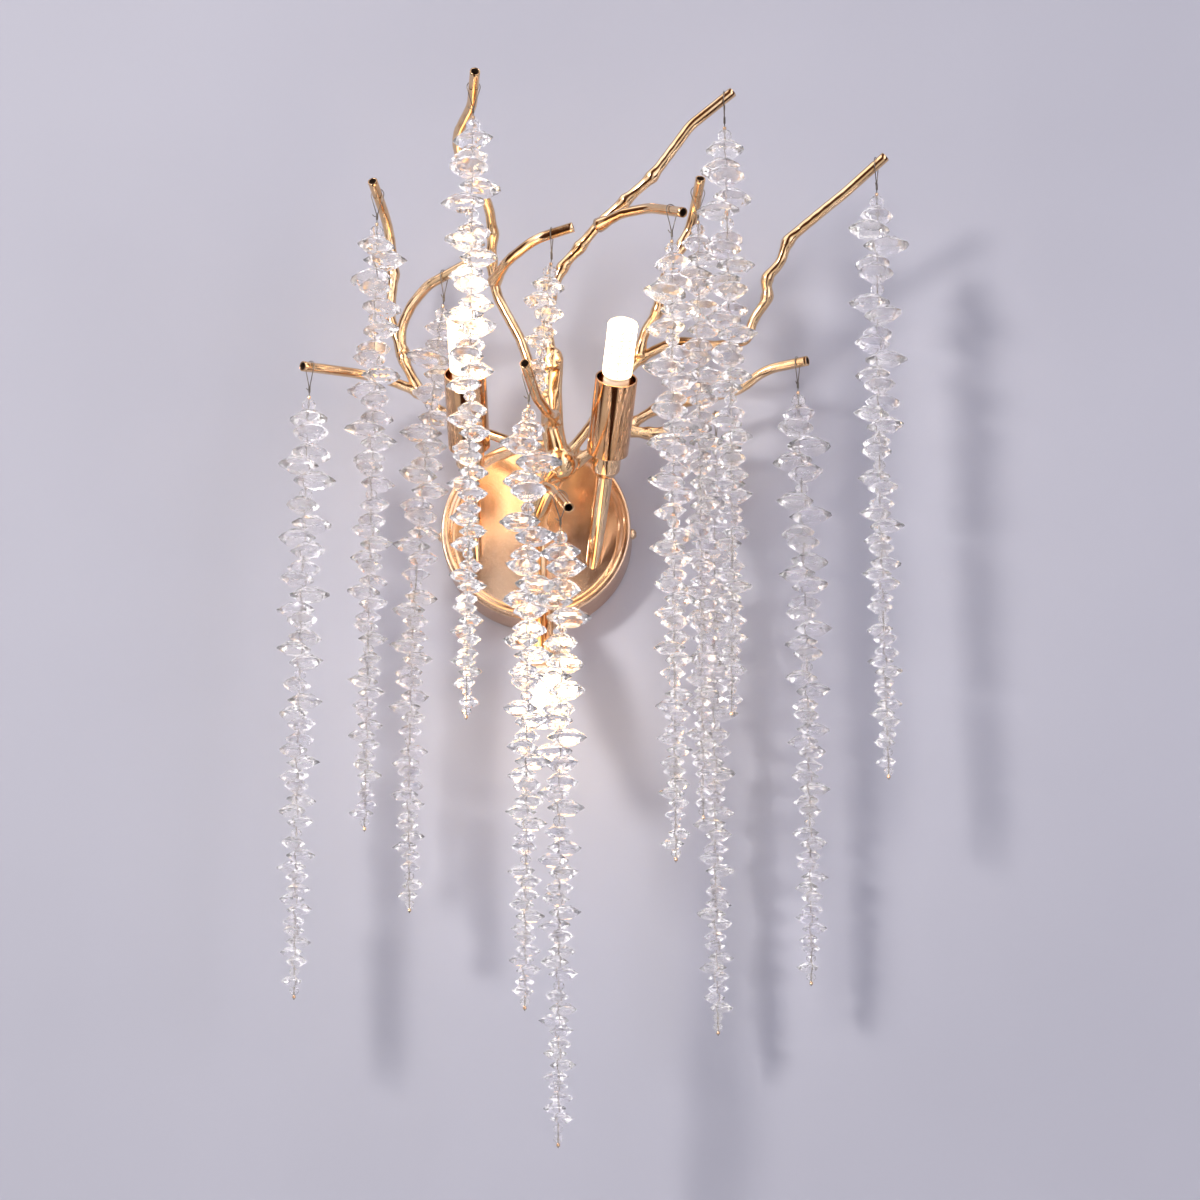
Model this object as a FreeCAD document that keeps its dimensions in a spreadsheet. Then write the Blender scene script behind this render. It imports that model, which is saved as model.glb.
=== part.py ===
import FreeCAD, Part
import math
import os

from FreeCAD import Placement, Rotation, Vector

os.makedirs("parts", exist_ok=True)

# Crystal wall sconce. Millimetres, +Z up. The wall is the plane Y = 0, the front faces -Y,
# and the origin is the centre of the round canopy on the wall.

sizes = {
    # canopy: a spun pan with a raised lip round its recessed face
    "canopyRadius": 60,
    "canopyDepth": 25,
    "canopyWall": 1.2,
    "lipWidth": 4,
    "lipRecess": 2,
    "lipRound": 1.2,
    # wall bracket and its fixings
    "bracketWidth": 20,
    "bracketThickness": 2,
    "tabDepth": 16,
    "slotSpacing": 84,
    "slotWidth": 4.5,
    "slotLength": 11,
    "cableHoleRadius": 6,
    "sideScrewDepth": 11,
    "sideScrewLength": 8,
    "screwRadius": 2,
    "screwHeadRadius": 3.5,
    "earthScrewOffset": 26,
    "blockLength": 22,
    "blockWidth": 15,
    "blockHeight": 13,
    "blockOffset": 9,
    "terminalHoleRadius": 2,
    # hub and its bolt
    "stemRadius": 7.5,
    "knotRadius": 11,
    "boltRadius": 4,
    "boltLength": 15,
    "boltHeadRadius": 7.5,
    "boltHeadHeight": 5,
    # branches
    "tubeRadius": 3.2,
    "tubeBoreRadius": 2.4,
    "tubeKnotRadius": 4.1,
    "trunkRadius": 6.6,
    # lamps
    "armRadius": 5,
    "armBoreRadius": 4,
    "armLength": 60,
    "lowerArmLength": 35,
    "leadHoleRadius": 3.9,
    "spareHoleRadius": 2.4,
    "spareHoleRight": 21.7,
    "spareHoleUp": 14,
    "leadRadius": 1.6,
    "leadDepth": 9,
    "collarRadius": 9,
    "collarFootRadius": 6.5,
    "collarTaper": 4,
    "collarLength": 16,
    "cupRadius": 13,
    "cupWall": 1,
    "cupLength": 51,
    "nippleLength": 12,
    "holderRadius": 10,
    "holderLength": 22,
    "pinSpacing": 9,
    "pinRadius": 0.6,
    "pinLength": 9,
    "pinClearance": 0.3,
    "bulbBaseRadius": 8,
    "bulbBaseLength": 20,
    "capsuleRadius": 9.2,
    "capsuleLength": 35,
    "capsuleRound": 3,
    # crystal strings
    "stringLength": 400,
    "shortStringLength": 112,
    "wireRadius": 0.3,
    "loopGap": 0.4,
    "loopDrop": 14,
    "twistRadius": 0.8,
    "twistLength": 3,
    "tailLength": 3.5,
    "crimpRadius": 1.1,
    "crimpLength": 1.8,
    "crimpGap": 2.5,
    "beadRadius": 4.6,
    "endBeadRadius": 3,
    "crystalBoreRadius": 0.7,
    "crystalGap": 0.3,
    "topCrystalLength": 33,
    "endCrystalLength": 16,
    "topCrystalHeight": 10.2,
    "endCrystalHeight": 5.5,
    "crystalWidthShare": 0.8,
    "topDrillShare": 0.2,
    "endDrillShare": 0.14,
    # fits
    "fitGap": 0.05,
    "screwClearance": 0.2,
    "tabClearance": 0.3,
}

doc = FreeCAD.newDocument("CrystalWallSconce")
sheet = doc.addObject("Spreadsheet::Sheet", "Sizes")
for row, (alias, number) in enumerate(sizes.items(), start=1):
    sheet.set(f"A{row}", alias)
    sheet.set(f"B{row}", str(number))
    sheet.setAlias(f"B{row}", alias)
doc.recompute()

forward = Vector(0, -1, 0)
up = Vector(0, 0, 1)
nodes = []


def size(alias):
    """The number in the sheet's cell of that name."""
    return float(sheet.get(alias))


def cell(formula):
    """A formula on sheet aliases, written with a leading $ before each alias."""
    return formula.replace("$", "Sizes.")


def turnedTo(axis):
    """The rotation that takes +Z to the axis."""
    return Rotation(up, axis)


def addCylinder(name, radius, height, base, axis):
    solid = doc.addObject("Part::Cylinder", name)
    solid.setExpression("Radius", cell(radius))
    solid.setExpression("Height", cell(height))
    solid.Placement = Placement(base, turnedTo(axis))
    return solid


def addCone(name, footRadius, headRadius, height, base, axis):
    solid = doc.addObject("Part::Cone", name)
    solid.setExpression("Radius1", cell(footRadius))
    solid.setExpression("Radius2", cell(headRadius))
    solid.setExpression("Height", cell(height))
    solid.Placement = Placement(base, turnedTo(axis))
    return solid


def addBox(name, length, width, height, corner):
    """A box with its sides along X, Y and Z, from its lowest corner."""
    solid = doc.addObject("Part::Box", name)
    solid.setExpression("Length", cell(length))
    solid.setExpression("Width", cell(width))
    solid.setExpression("Height", cell(height))
    solid.Placement = Placement(corner, Rotation())
    return solid


def fuse(name, solids):
    fusion = doc.addObject("Part::MultiFuse", name)
    fusion.Shapes = solids
    return fusion


def cut(name, base, tools):
    result = doc.addObject("Part::Cut", name)
    result.Base = base
    result.Tool = tools[0] if len(tools) == 1 else fuse(name + "Tools", tools)
    return result


def group(name, solids):
    compound = doc.addObject("Part::Compound", name)
    compound.Links = solids
    return compound


def feature(name, shape):
    solid = doc.addObject("Part::Feature", name)
    solid.Shape = shape
    return solid


def node(solid, label):
    solid.Label = label
    nodes.append(solid)
    return solid


# ---- canopy and what is behind it

faceY = -(size("canopyDepth") - size("lipRecess"))
innerFaceY = faceY + size("canopyWall")


def lampAxis(azimuth, elevation):
    """A direction from its angle to the right of straight ahead and its angle above level."""
    level = math.cos(math.radians(elevation))
    return Vector(
        level * math.sin(math.radians(azimuth)),
        -level * math.cos(math.radians(azimuth)),
        math.sin(math.radians(elevation)),
    )


# each lamp: foot on the canopy face (x, z), direction, and the arm's length up to its collar
lamps = {
    "left": {"foot": (-38, -14), "azimuth": 0, "elevation": 41, "arm": "armLength"},
    "right": {"foot": (37, -20), "azimuth": 11, "elevation": 43, "arm": "armLength"},
    "lower": {"foot": (3, -20), "azimuth": 5, "elevation": -62, "arm": "lowerArmLength"},
}
for lamp in lamps.values():
    lamp["base"] = Vector(lamp["foot"][0], faceY, lamp["foot"][1])
    lamp["axis"] = lampAxis(lamp["azimuth"], lamp["elevation"])


def along(lamp, distance):
    return lamp["base"] + lamp["axis"] * distance


def makeCanopy():
    disc = addCylinder("canopyDisc", "$canopyRadius", "$canopyDepth", Vector(), forward)
    recess = addCylinder(
        "canopyRecess", "$canopyRadius - $lipWidth", "$lipRecess", Vector(0, faceY, 0), forward
    )
    hollow = addCylinder(
        "canopyHollow",
        "$canopyRadius - $canopyWall",
        "$canopyDepth - $lipRecess - $canopyWall",
        Vector(),
        forward,
    )
    boltHole = addCylinder(
        "canopyBoltHole", "$boltRadius + $screwClearance", "$canopyDepth", Vector(), forward
    )
    screwHole = addCylinder(
        "canopyScrewHole",
        "$screwRadius + $screwClearance",
        "2 * $canopyRadius + 2",
        Vector(-size("canopyRadius") - 1, -size("sideScrewDepth"), 0),
        Vector(1, 0, 0),
    )
    leadHoles = [
        addCylinder(
            f"canopyLeadHole_{side}",
            "$leadHoleRadius",
            "$canopyDepth",
            Vector(lamp["foot"][0], 0, lamp["foot"][1]),
            forward,
        )
        for side, lamp in lamps.items()
    ]
    spareHole = addCylinder(
        "canopySpareHole",
        "$spareHoleRadius",
        "$canopyDepth",
        Vector(size("spareHoleRight"), 0, size("spareHoleUp")),
        forward,
    )
    tools = [recess, hollow, boltHole, screwHole, spareHole] + leadHoles
    pan = cut("canopyPan", disc, tools)
    doc.recompute()
    lip = doc.addObject("Part::Fillet", "canopyLip")
    lip.Base = pan
    lip.Edges = [
        (index, size("lipRound"), size("lipRound"))
        for index, edge in enumerate(pan.Shape.Edges, start=1)
        if edge.BoundBox.YLength < 0.01
        and abs(edge.BoundBox.YMin + size("canopyDepth")) < 0.01
    ]
    return node(lip, "canopy")


tabReachRule = (
    "sqrt(($canopyRadius - $canopyWall)^2 - ($bracketWidth / 2)^2) - $tabClearance"
)


def tabReach():
    innerRadius = size("canopyRadius") - size("canopyWall")
    return math.sqrt(innerRadius**2 - (size("bracketWidth") / 2) ** 2) - size("tabClearance")


def makeBracket():
    reach = tabReach()
    thickness = size("bracketThickness")
    halfWidth = size("bracketWidth") / 2
    bar = addBox(
        "bracketBar",
        f"2 * ({tabReachRule})",
        "$bracketThickness",
        "$bracketWidth",
        Vector(-reach, -thickness, -halfWidth),
    )
    tabs = [
        addBox(
            f"bracketTab{index}",
            "$bracketThickness",
            "$tabDepth",
            "$bracketWidth",
            Vector(x, -size("tabDepth"), -halfWidth),
        )
        for index, x in enumerate((-reach, reach - thickness))
    ]
    tools = [
        addCylinder(
            "bracketCableHole", "$cableHoleRadius", "$bracketThickness", Vector(), forward
        ),
        addCylinder(
            "bracketTapping",
            "$screwRadius + $fitGap",
            f"2 * ({tabReachRule})",
            Vector(-reach, -size("sideScrewDepth"), 0),
            Vector(1, 0, 0),
        ),
        addCylinder(
            "bracketEarthHole",
            "$screwRadius + $fitGap",
            "$bracketThickness",
            Vector(size("earthScrewOffset"), 0, 0),
            forward,
        ),
    ]
    endOffset = (size("slotLength") - size("slotWidth")) / 2
    for side in (-1, 1):
        centre = side * size("slotSpacing") / 2
        tools.append(
            addBox(
                f"slotMiddle{side + 1}",
                "$slotLength - $slotWidth",
                "$bracketThickness",
                "$slotWidth",
                Vector(centre - endOffset, -thickness, -size("slotWidth") / 2),
            )
        )
        for end in (-1, 1):
            tools.append(
                addCylinder(
                    f"slotEnd{side + 1}{end + 1}",
                    "$slotWidth / 2",
                    "$bracketThickness",
                    Vector(centre + end * endOffset, 0, 0),
                    forward,
                )
            )
    return node(cut("bracket", fuse("bracketStrip", [bar] + tabs), tools), "wall_bracket")


def makeScrew(name, seat, axis, length):
    """A dome-head screw: its shaft runs back from the seat, and its head stands on it."""
    shaft = addCylinder(name + "Shaft", "$screwRadius", length, seat, axis * -1)
    head = doc.addObject("Part::Sphere", name + "Head")
    head.setExpression("Radius", cell("$screwHeadRadius"))
    head.Angle1 = 0
    head.Placement = Placement(seat, turnedTo(axis))
    return fuse(name, [shaft, head])


def makeScrews():
    y = -size("sideScrewDepth")
    screws = [
        makeScrew(
            f"sideScrew{index}",
            Vector(side * size("canopyRadius"), y, 0),
            Vector(side, 0, 0),
            "$sideScrewLength",
        )
        for index, side in enumerate((-1, 1))
    ]
    node(group("sideScrews", screws), "canopy_side_screws")
    earthSeat = Vector(size("earthScrewOffset"), -size("bracketThickness"), 0)
    node(makeScrew("earthScrew", earthSeat, forward, "$bracketThickness"), "earth_screw")


def makeTerminalBlock():
    corner = Vector(
        -size("blockOffset") - size("blockLength"),
        -size("bracketThickness") - size("blockHeight"),
        -size("blockWidth") / 2,
    )
    body = addBox("blockBody", "$blockLength", "$blockHeight", "$blockWidth", corner)
    pitch = size("blockLength") / 3
    wells = [
        addCylinder(
            f"blockWell{index}",
            "$terminalHoleRadius",
            "$blockHeight / 2",
            Vector(corner.x + pitch * (index + 0.5), corner.y, 0),
            forward * -1,
        )
        for index in range(3)
    ]
    return node(cut("block", body, wells), "terminal_block")


# ---- round bars along a route

def bentRoute(points, widest):
    """A path of straight runs joined by tangent arcs."""
    edges = []
    start = points[0]
    for before, corner, after in zip(points, points[1:], points[2:]):
        runIn = corner - before
        runOut = after - corner
        turn = runIn.getAngle(runOut)
        share = math.tan(turn / 2)
        radius = min(0.45 * min(runIn.Length, runOut.Length) / share, widest)
        inward = Vector(runIn).normalize()
        outward = Vector(runOut).normalize()
        arcStart = corner - inward * (radius * share)
        arcEnd = corner + outward * (radius * share)
        bisector = (outward - inward).normalize()
        arcMiddle = corner + bisector * (radius / math.cos(turn / 2) - radius)
        edges.append(Part.makeLine(start, arcStart))
        edges.append(Part.Arc(arcStart, arcMiddle, arcEnd).toShape())
        start = arcEnd
    edges.append(Part.makeLine(start, points[-1]))
    return Part.Wire(edges)


def roundBar(path, radius):
    """A solid of round section along a path."""
    first = path.OrderedEdges[0]
    begin = first.valueAt(first.FirstParameter)
    heading = first.tangentAt(first.FirstParameter)
    section = Part.Wire([Part.makeCircle(radius, begin, heading)])
    return path.makePipeShell([section], True, False)


def largestSolid(shape):
    return max(shape.Solids, key=lambda solid: solid.Volume)


def vectors(points):
    return [Vector(*point) for point in points]


# ---- hub, trunk and branches

hubRoute = [(0, faceY, 0), (1, -43, 3), (8, -57, 14), (18, -70, 27)]


def makeHub():
    stem = roundBar(bentRoute(vectors(hubRoute), 20), size("stemRadius"))
    knot = Part.makeSphere(size("knotRadius"), Vector(*hubRoute[-1]))
    bore = Part.makeCylinder(
        size("boltRadius") + size("fitGap"),
        size("boltLength") - size("canopyWall") + 1,
        Vector(0, faceY, 0),
        forward,
    )
    backOfFace = Part.makeBox(80, 40, 80, Vector(-40, faceY, -40))
    casting = stem.fuse(knot).cut(bore).cut(backOfFace)
    hub = node(feature("hub", largestSolid(casting)), "hub_casting")

    head = doc.addObject("Part::Prism", "boltHead")
    head.Polygon = 6
    head.setExpression("Circumradius", cell("$boltHeadRadius"))
    head.setExpression("Height", cell("$boltHeadHeight"))
    headBase = Vector(0, innerFaceY + size("boltHeadHeight"), 0)
    head.Placement = Placement(headBase, turnedTo(forward))
    shaft = addCylinder(
        "boltShaft", "$boltRadius", "$boltLength", Vector(0, innerFaceY, 0), forward
    )
    node(fuse("hubBolt", [head, shaft]), "hub_bolt")
    return hub


# Each branch: the points of its route from root to open tip, and the corners that carry a knot.
branches = {
    "trunk": {
        "route": [(18, -72, 30), (13, -73, 50), (12, -77, 72), (14, -84, 93)],
        "knots": [],
    },
    "branch_top_right": {
        "route": [
            (14, -84, 84), (10, -86, 115), (12, -85, 132), (19, -86, 152), (31, -90, 164),
            (44, -98, 177), (60, -104, 189), (77, -110, 202), (101, -117, 233), (128, -119, 255),
        ],
        "knots": [2, 3, 4, 6, 7],
    },
    "branch_top_right_fork": {
        "route": [(43, -98, 175), (58, -112, 177), (76, -126, 174), (97, -150, 160)],
        "knots": [],
    },
    "branch_top_left": {
        "route": [
            (7, -79, 66), (-7, -76, 108), (-22, -75, 138), (-26, -79, 160), (-24, -87, 175),
            (-26, -98, 190), (-46, -136, 216), (-32, -163, 228), (-28, -192, 237),
        ],
        "knots": [3, 4],
    },
    "branch_center_twig": {
        "route": [(-24, -76, 147), (-14, -98, 152), (4, -113, 160), (28, -117, 166)],
        "knots": [],
    },
    "branch_far_left": {
        "route": [
            (10, -66, 30), (-18, -50, 51), (-41, -44, 62), (-58, -40, 72), (-74, -40, 88),
            (-95, -42, 96), (-114, -51, 97), (-143, -82, 90),
        ],
        "knots": [2, 3, 4],
    },
    "branch_left_fork": {
        "route": [
            (-73, -40, 86), (-84, -42, 109), (-86, -46, 128), (-78, -56, 141), (-66, -69, 149),
            (-39, -85, 157),
        ],
        "knots": [1],
    },
    "branch_left_upright": {
        "route": [
            (-84, -43, 112), (-93, -44, 138), (-91, -44, 167), (-93, -50, 191), (-96, -62, 202),
            (-101, -87, 213),
        ],
        "knots": [2],
    },
    "branch_far_right": {
        "route": [
            (21, -67, 32), (36, -54, 58), (51, -44, 89), (67, -42, 108), (91, -44, 119),
            (114, -46, 113), (135, -48, 116), (139, -51, 129), (149, -56, 142), (147, -60, 153),
            (157, -63, 162), (161, -66, 176), (170, -69, 183), (197, -76, 203), (224, -84, 225),
        ],
        "knots": [2, 3, 6, 8, 9, 11],
    },
    "branch_right_upright": {
        "route": [
            (66, -43, 107), (70, -47, 124), (79, -52, 135), (80, -57, 147), (85, -62, 158),
            (95, -64, 176), (100, -66, 187), (103, -72, 197), (107, -91, 209),
        ],
        "knots": [2, 3, 5],
    },
    "branch_lower_right": {
        "route": [
            (25, -62, 30), (45, -50, 47), (62, -46, 62), (77, -40, 74), (105, -34, 82),
            (130, -31, 89), (146, -35, 101), (173, -47, 102),
        ],
        "knots": [1, 2, 3],
    },
    "branch_right_twig": {
        "route": [(57, -48, 57), (72, -43, 56), (88, -40, 59), (104, -41, 63), (123, -47, 68)],
        "knots": [1],
    },
    "branch_front_stub": {
        "route": [(13, -74, 52), (15, -92, 51), (13, -112, 45), (7, -134, 47), (2, -168, 56)],
        "knots": [1],
    },
    "branch_front_arch": {
        "route": [(15, -68, 22), (8, -85, 8), (11, -101, 1), (17, -111, -5), (27, -140, -26)],
        "knots": [1],
    },
}


def knotBall(radius, points, corner):
    """A ball on a corner of a route, with its poles and seam clear of both runs."""
    inward = (points[corner] - points[corner - 1]).normalize()
    outward = (points[corner + 1] - points[corner]).normalize()
    pole = inward.cross(outward).normalize()
    outside = (inward - outward).normalize()
    ball = Part.makeSphere(radius)
    turned = Rotation(outside, pole.cross(outside), pole, "ZXY")
    ball.Placement = Placement(points[corner], turned)
    return ball


def makeBranches(hub):
    """Bent round tubes, each cut where it is brazed to the pieces made before it."""
    made = [hub.Shape]
    for name, branch in branches.items():
        points = vectors(branch["route"])
        isTrunk = name == "trunk"
        radius = size("trunkRadius") if isTrunk else size("tubeRadius")
        solid = roundBar(bentRoute(points, 30), radius)
        for corner in branch["knots"]:
            solid = solid.fuse(knotBall(size("tubeKnotRadius"), points, corner))
        if isTrunk:
            # the bundle ends in a rounded shoulder
            solid = solid.fuse(Part.makeSphere(radius, points[-1]))
        else:
            # the open bore of the last straight run
            lastRun = points[-1] - points[-2]
            boreLength = lastRun.Length * 0.7
            heading = Vector(lastRun).normalize()
            boreStart = points[-1] - heading * boreLength
            bore = Part.makeCylinder(
                size("tubeBoreRadius"), boreLength + 1, boreStart, heading
            )
            solid = solid.cut(bore)
        near = [other for other in made if other.BoundBox.intersect(solid.BoundBox)]
        solid = largestSolid(solid.cut(near))
        made.append(solid)
        node(feature(name, solid), name)


# ---- lamps

def makeLamps():
    arms = []
    collars = []
    holders = []
    # everything behind the canopy face, which the arms stand on
    behindFace = addBox(
        "behindFace",
        "4 * $canopyRadius",
        "2 * $canopyDepth",
        "4 * $canopyRadius",
        Vector(-2 * size("canopyRadius"), faceY, -2 * size("canopyRadius")),
    )
    # an arm starts this far behind the face, so that its slanted foot is whole
    footOverlap = 3 * size("armRadius")
    for side, lamp in lamps.items():
        axis = lamp["axis"]
        armLength = size(lamp["arm"])
        reach = f"${lamp['arm']} + $collarLength + $nippleLength + 3 * $armRadius"
        rod = addCylinder(f"armRod_{side}", "$armRadius", reach, along(lamp, -footOverlap), axis)
        bore = addCylinder(
            f"armBore_{side}", "$armBoreRadius", reach, along(lamp, -footOverlap), axis
        )
        arms.append(cut(f"arm_{side}", rod, [bore, behindFace]))

        collarFoot = addCone(
            f"collarFoot_{side}",
            "$collarFootRadius",
            "$collarRadius",
            "$collarTaper",
            along(lamp, armLength),
            axis,
        )
        collarBarrel = addCylinder(
            f"collarBarrel_{side}",
            "$collarRadius",
            "$collarLength - $collarTaper",
            along(lamp, armLength + size("collarTaper")),
            axis,
        )
        collarBore = addCylinder(
            f"collarBore_{side}",
            "$armRadius + $fitGap",
            "$collarLength",
            along(lamp, armLength),
            axis,
        )
        collarBody = fuse(f"collarBody_{side}", [collarFoot, collarBarrel])
        collars.append(cut(f"collar_{side}", collarBody, [collarBore]))

        cupBase = armLength + size("collarLength")
        lamp["cupBase"] = cupBase
        cupBody = addCylinder(
            f"cupBody_{side}", "$cupRadius", "$cupLength", along(lamp, cupBase), axis
        )
        cupHollow = addCylinder(
            f"cupHollow_{side}",
            "$cupRadius - $cupWall",
            "$cupLength",
            along(lamp, cupBase + size("cupWall")),
            axis,
        )
        cupHole = addCylinder(
            f"cupHole_{side}", "$armRadius + $fitGap", "$cupWall", along(lamp, cupBase), axis
        )
        node(cut(f"cup_{side}", cupBody, [cupHollow, cupHole]), f"lamp_cup_{side}")

        across = axis.cross(Vector(1, 0, 0)).cross(axis).normalize()
        seat = cupBase + size("nippleLength")
        plug = seat + size("holderLength")
        holderBody = addCylinder(
            f"holderBody_{side}", "$holderRadius", "$holderLength", along(lamp, seat), axis
        )
        pinPlaces = [across * (offset * size("pinSpacing") / 2) for offset in (-1, 1)]
        pinHoles = [
            addCylinder(
                f"pinHole_{side}_{index}",
                "$pinRadius + $pinClearance",
                "$pinLength + 1",
                along(lamp, plug - size("pinLength") - 1) + place,
                axis,
            )
            for index, place in enumerate(pinPlaces)
        ]
        holders.append(cut(f"holder_{side}", holderBody, pinHoles))

        pins = [
            addCylinder(
                f"pin_{side}_{index}",
                "$pinRadius",
                "$pinLength",
                along(lamp, plug - size("pinLength")) + place,
                axis,
            )
            for index, place in enumerate(pinPlaces)
        ]
        base = addCylinder(
            f"bulbBody_{side}", "$bulbBaseRadius", "$bulbBaseLength", along(lamp, plug), axis
        )
        node(fuse(f"bulbBase_{side}", [base] + pins), f"bulb_{side}_base")

        tube = addCylinder(
            f"capsuleTube_{side}",
            "$capsuleRadius",
            "$capsuleLength",
            along(lamp, plug + size("bulbBaseLength")),
            axis,
        )
        doc.recompute()
        capsule = doc.addObject("Part::Fillet", f"capsule_{side}")
        capsule.Base = tube
        top = along(lamp, plug + size("bulbBaseLength") + size("capsuleLength"))
        capsule.Edges = [
            (index, size("capsuleRound"), size("capsuleRound"))
            for index, edge in enumerate(tube.Shape.Edges, start=1)
            if edge.Closed and (edge.CenterOfMass - top).Length < 0.1
        ]
        node(capsule, f"bulb_{side}_capsule")
    node(group("arms", arms), "lamp_arms")
    node(group("collars", collars), "arm_collars")
    node(group("holders", holders), "lamp_holders")


def makeLeads():
    """A twin lead from the terminal block through each arm to its lamp holder."""
    depth = -size("leadDepth")
    blockRight = -size("blockOffset")
    blockLeft = blockRight - size("blockLength")
    starts = {
        "left": [(blockLeft, depth, -3), (blockLeft - 4, depth, -3)],
        "right": [(blockRight, depth, 2), (12, depth, 2)],
        "lower": [(blockRight, depth, -4), (blockRight + 6, depth, -4)],
    }
    leads = []
    for side, lamp in lamps.items():
        foot = lamp["base"]
        end = along(lamp, size(lamp["arm"]) + size("collarLength") + size("nippleLength"))
        corner = Vector(foot.x, depth, foot.z)
        route = bentRoute(vectors(starts[side]) + [corner, foot, end], 12)
        leads.append(roundBar(route, size("leadRadius")))
    node(feature("leads", Part.makeCompound(leads)), "lamp_leads")


# ---- crystal strings

# Each string: the branch that carries it, how far back from the tip its loop sits, what it adds
# to the usual length, its lean per millimetre and bow along the branch, a size factor and the
# turn of its first crystal.
strings = [
    {"branch": "branch_far_left", "back": 6, "extra": 5, "lean": -0.002, "bow": 2, "turn": 20},
    {"branch": "branch_left_upright", "back": 12, "extra": 18, "turn": 80},
    {"branch": "branch_left_fork", "back": 20, "extra": 8, "lean": -0.045, "bow": -10, "turn": 150},
    {"branch": "branch_top_left", "back": 14, "extra": 2, "turn": 200},
    {"branch": "branch_center_twig", "back": 14, "lean": -0.1, "turn": 250,
     "length": "shortStringLength", "scale": 0.85},
    {"branch": "branch_front_stub", "back": 12, "extra": -9, "turn": 310},
    {"branch": "branch_front_arch", "back": 22, "extra": -6, "turn": 35},
    {"branch": "branch_right_upright", "back": 11, "extra": 8, "turn": 95, "scale": 0.95},
    {"branch": "branch_top_right_fork", "back": 12, "extra": 13, "turn": 170},
    {"branch": "branch_top_right", "back": 7, "extra": 5, "bow": 2, "turn": 215},
    {"branch": "branch_far_right", "back": 8, "extra": 3, "lean": -0.004, "bow": -2, "turn": 290},
    {"branch": "branch_lower_right", "back": 7, "lean": 0.004, "bow": 2, "turn": 330},
    {"branch": "branch_right_twig", "back": 9, "extra": -3, "lean": -0.006, "bow": -2, "turn": 60},
]
goldenTurn = 137.5


def ovalRing(length, width, shift, share, height, sides):
    """The corners of an oval outline, drawn in to a share of its size, at one height."""
    ring = []
    for index in range(sides):
        angle = 2 * math.pi * index / sides
        x = shift + share * length / 2 * math.cos(angle)
        y = share * width / 2 * math.sin(angle)
        ring.append(Vector(x, y, height))
    return ring


def closedPolygon(ring):
    return Part.makePolygon(ring + [ring[0]])


def facetedSolid(rings, boreRadius):
    """Flat facets between outlines of one shape, with a bore along the Z axis."""
    bottom = rings[0][0].z
    top = rings[-1][0].z
    boreSides = 6
    bore = [ovalRing(2 * boreRadius, 2 * boreRadius, 0, 1, z, boreSides) for z in (bottom, top)]
    faces = [
        Part.Face([closedPolygon(outer), closedPolygon(inner[::-1])])
        for outer, inner in ((rings[0], bore[0]), (rings[-1], bore[1]))
    ]
    for lower, upper in list(zip(rings, rings[1:])) + [tuple(bore)]:
        count = len(lower)
        for index in range(count):
            following = (index + 1) % count
            corners = [lower[index], lower[following], upper[following], upper[index]]
            faces.append(Part.Face(closedPolygon(corners)))
    solid = Part.makeSolid(Part.makeShell(faces))
    if solid.Volume < 0:
        solid.reverse()
    return solid


def crystal(length, height, shift):
    """A flat oval lens with a sharp edge, drilled off its centre."""
    tableShare = 0.5
    width = size("crystalWidthShare") * length
    outlines = ((-height / 2, tableShare), (0, 1), (height / 2, tableShare))
    rings = [ovalRing(length, width, shift, share, z, 8) for z, share in outlines]
    return facetedSolid(rings, size("crystalBoreRadius"))


def bead(radius):
    """A round bead cut with flat facets."""
    rings = []
    for latitude in (-60, -20, 20, 60):
        share = math.cos(math.radians(latitude))
        height = radius * math.sin(math.radians(latitude))
        rings.append(ovalRing(2 * radius, 2 * radius, 0, share, height, 8))
    return facetedSolid(rings, size("crystalBoreRadius"))


class StringLine:
    """The line that a string hangs along, from the centre of the tube that carries it."""

    def __init__(self, details):
        route = vectors(branches[details["branch"]]["route"])
        run = route[-1] - route[-2]
        self.hang = route[-1] - Vector(run).normalize() * details["back"]
        level = Vector(run.x, run.y, 0)
        self.slope = math.atan2(run.z, level.Length)
        self.axis = level.normalize()
        self.lean = details.get("lean", 0)
        self.bow = details.get("bow", 0)
        self.length = size(details.get("length", "stringLength")) + details.get("extra", 0)

    def at(self, drop):
        # the loop hangs plumb, and the string leans and bows below its twist
        below = max(0, drop - size("loopDrop") - size("twistLength") + 1)
        shift = self.lean * below + self.bow * math.sin(math.pi * below / self.length)
        return self.hang + self.axis * shift - up * drop

    def heading(self, drop):
        """The upward direction of the line at a drop below the tube."""
        return (self.at(drop - 1) - self.at(drop + 1)).normalize()


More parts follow.
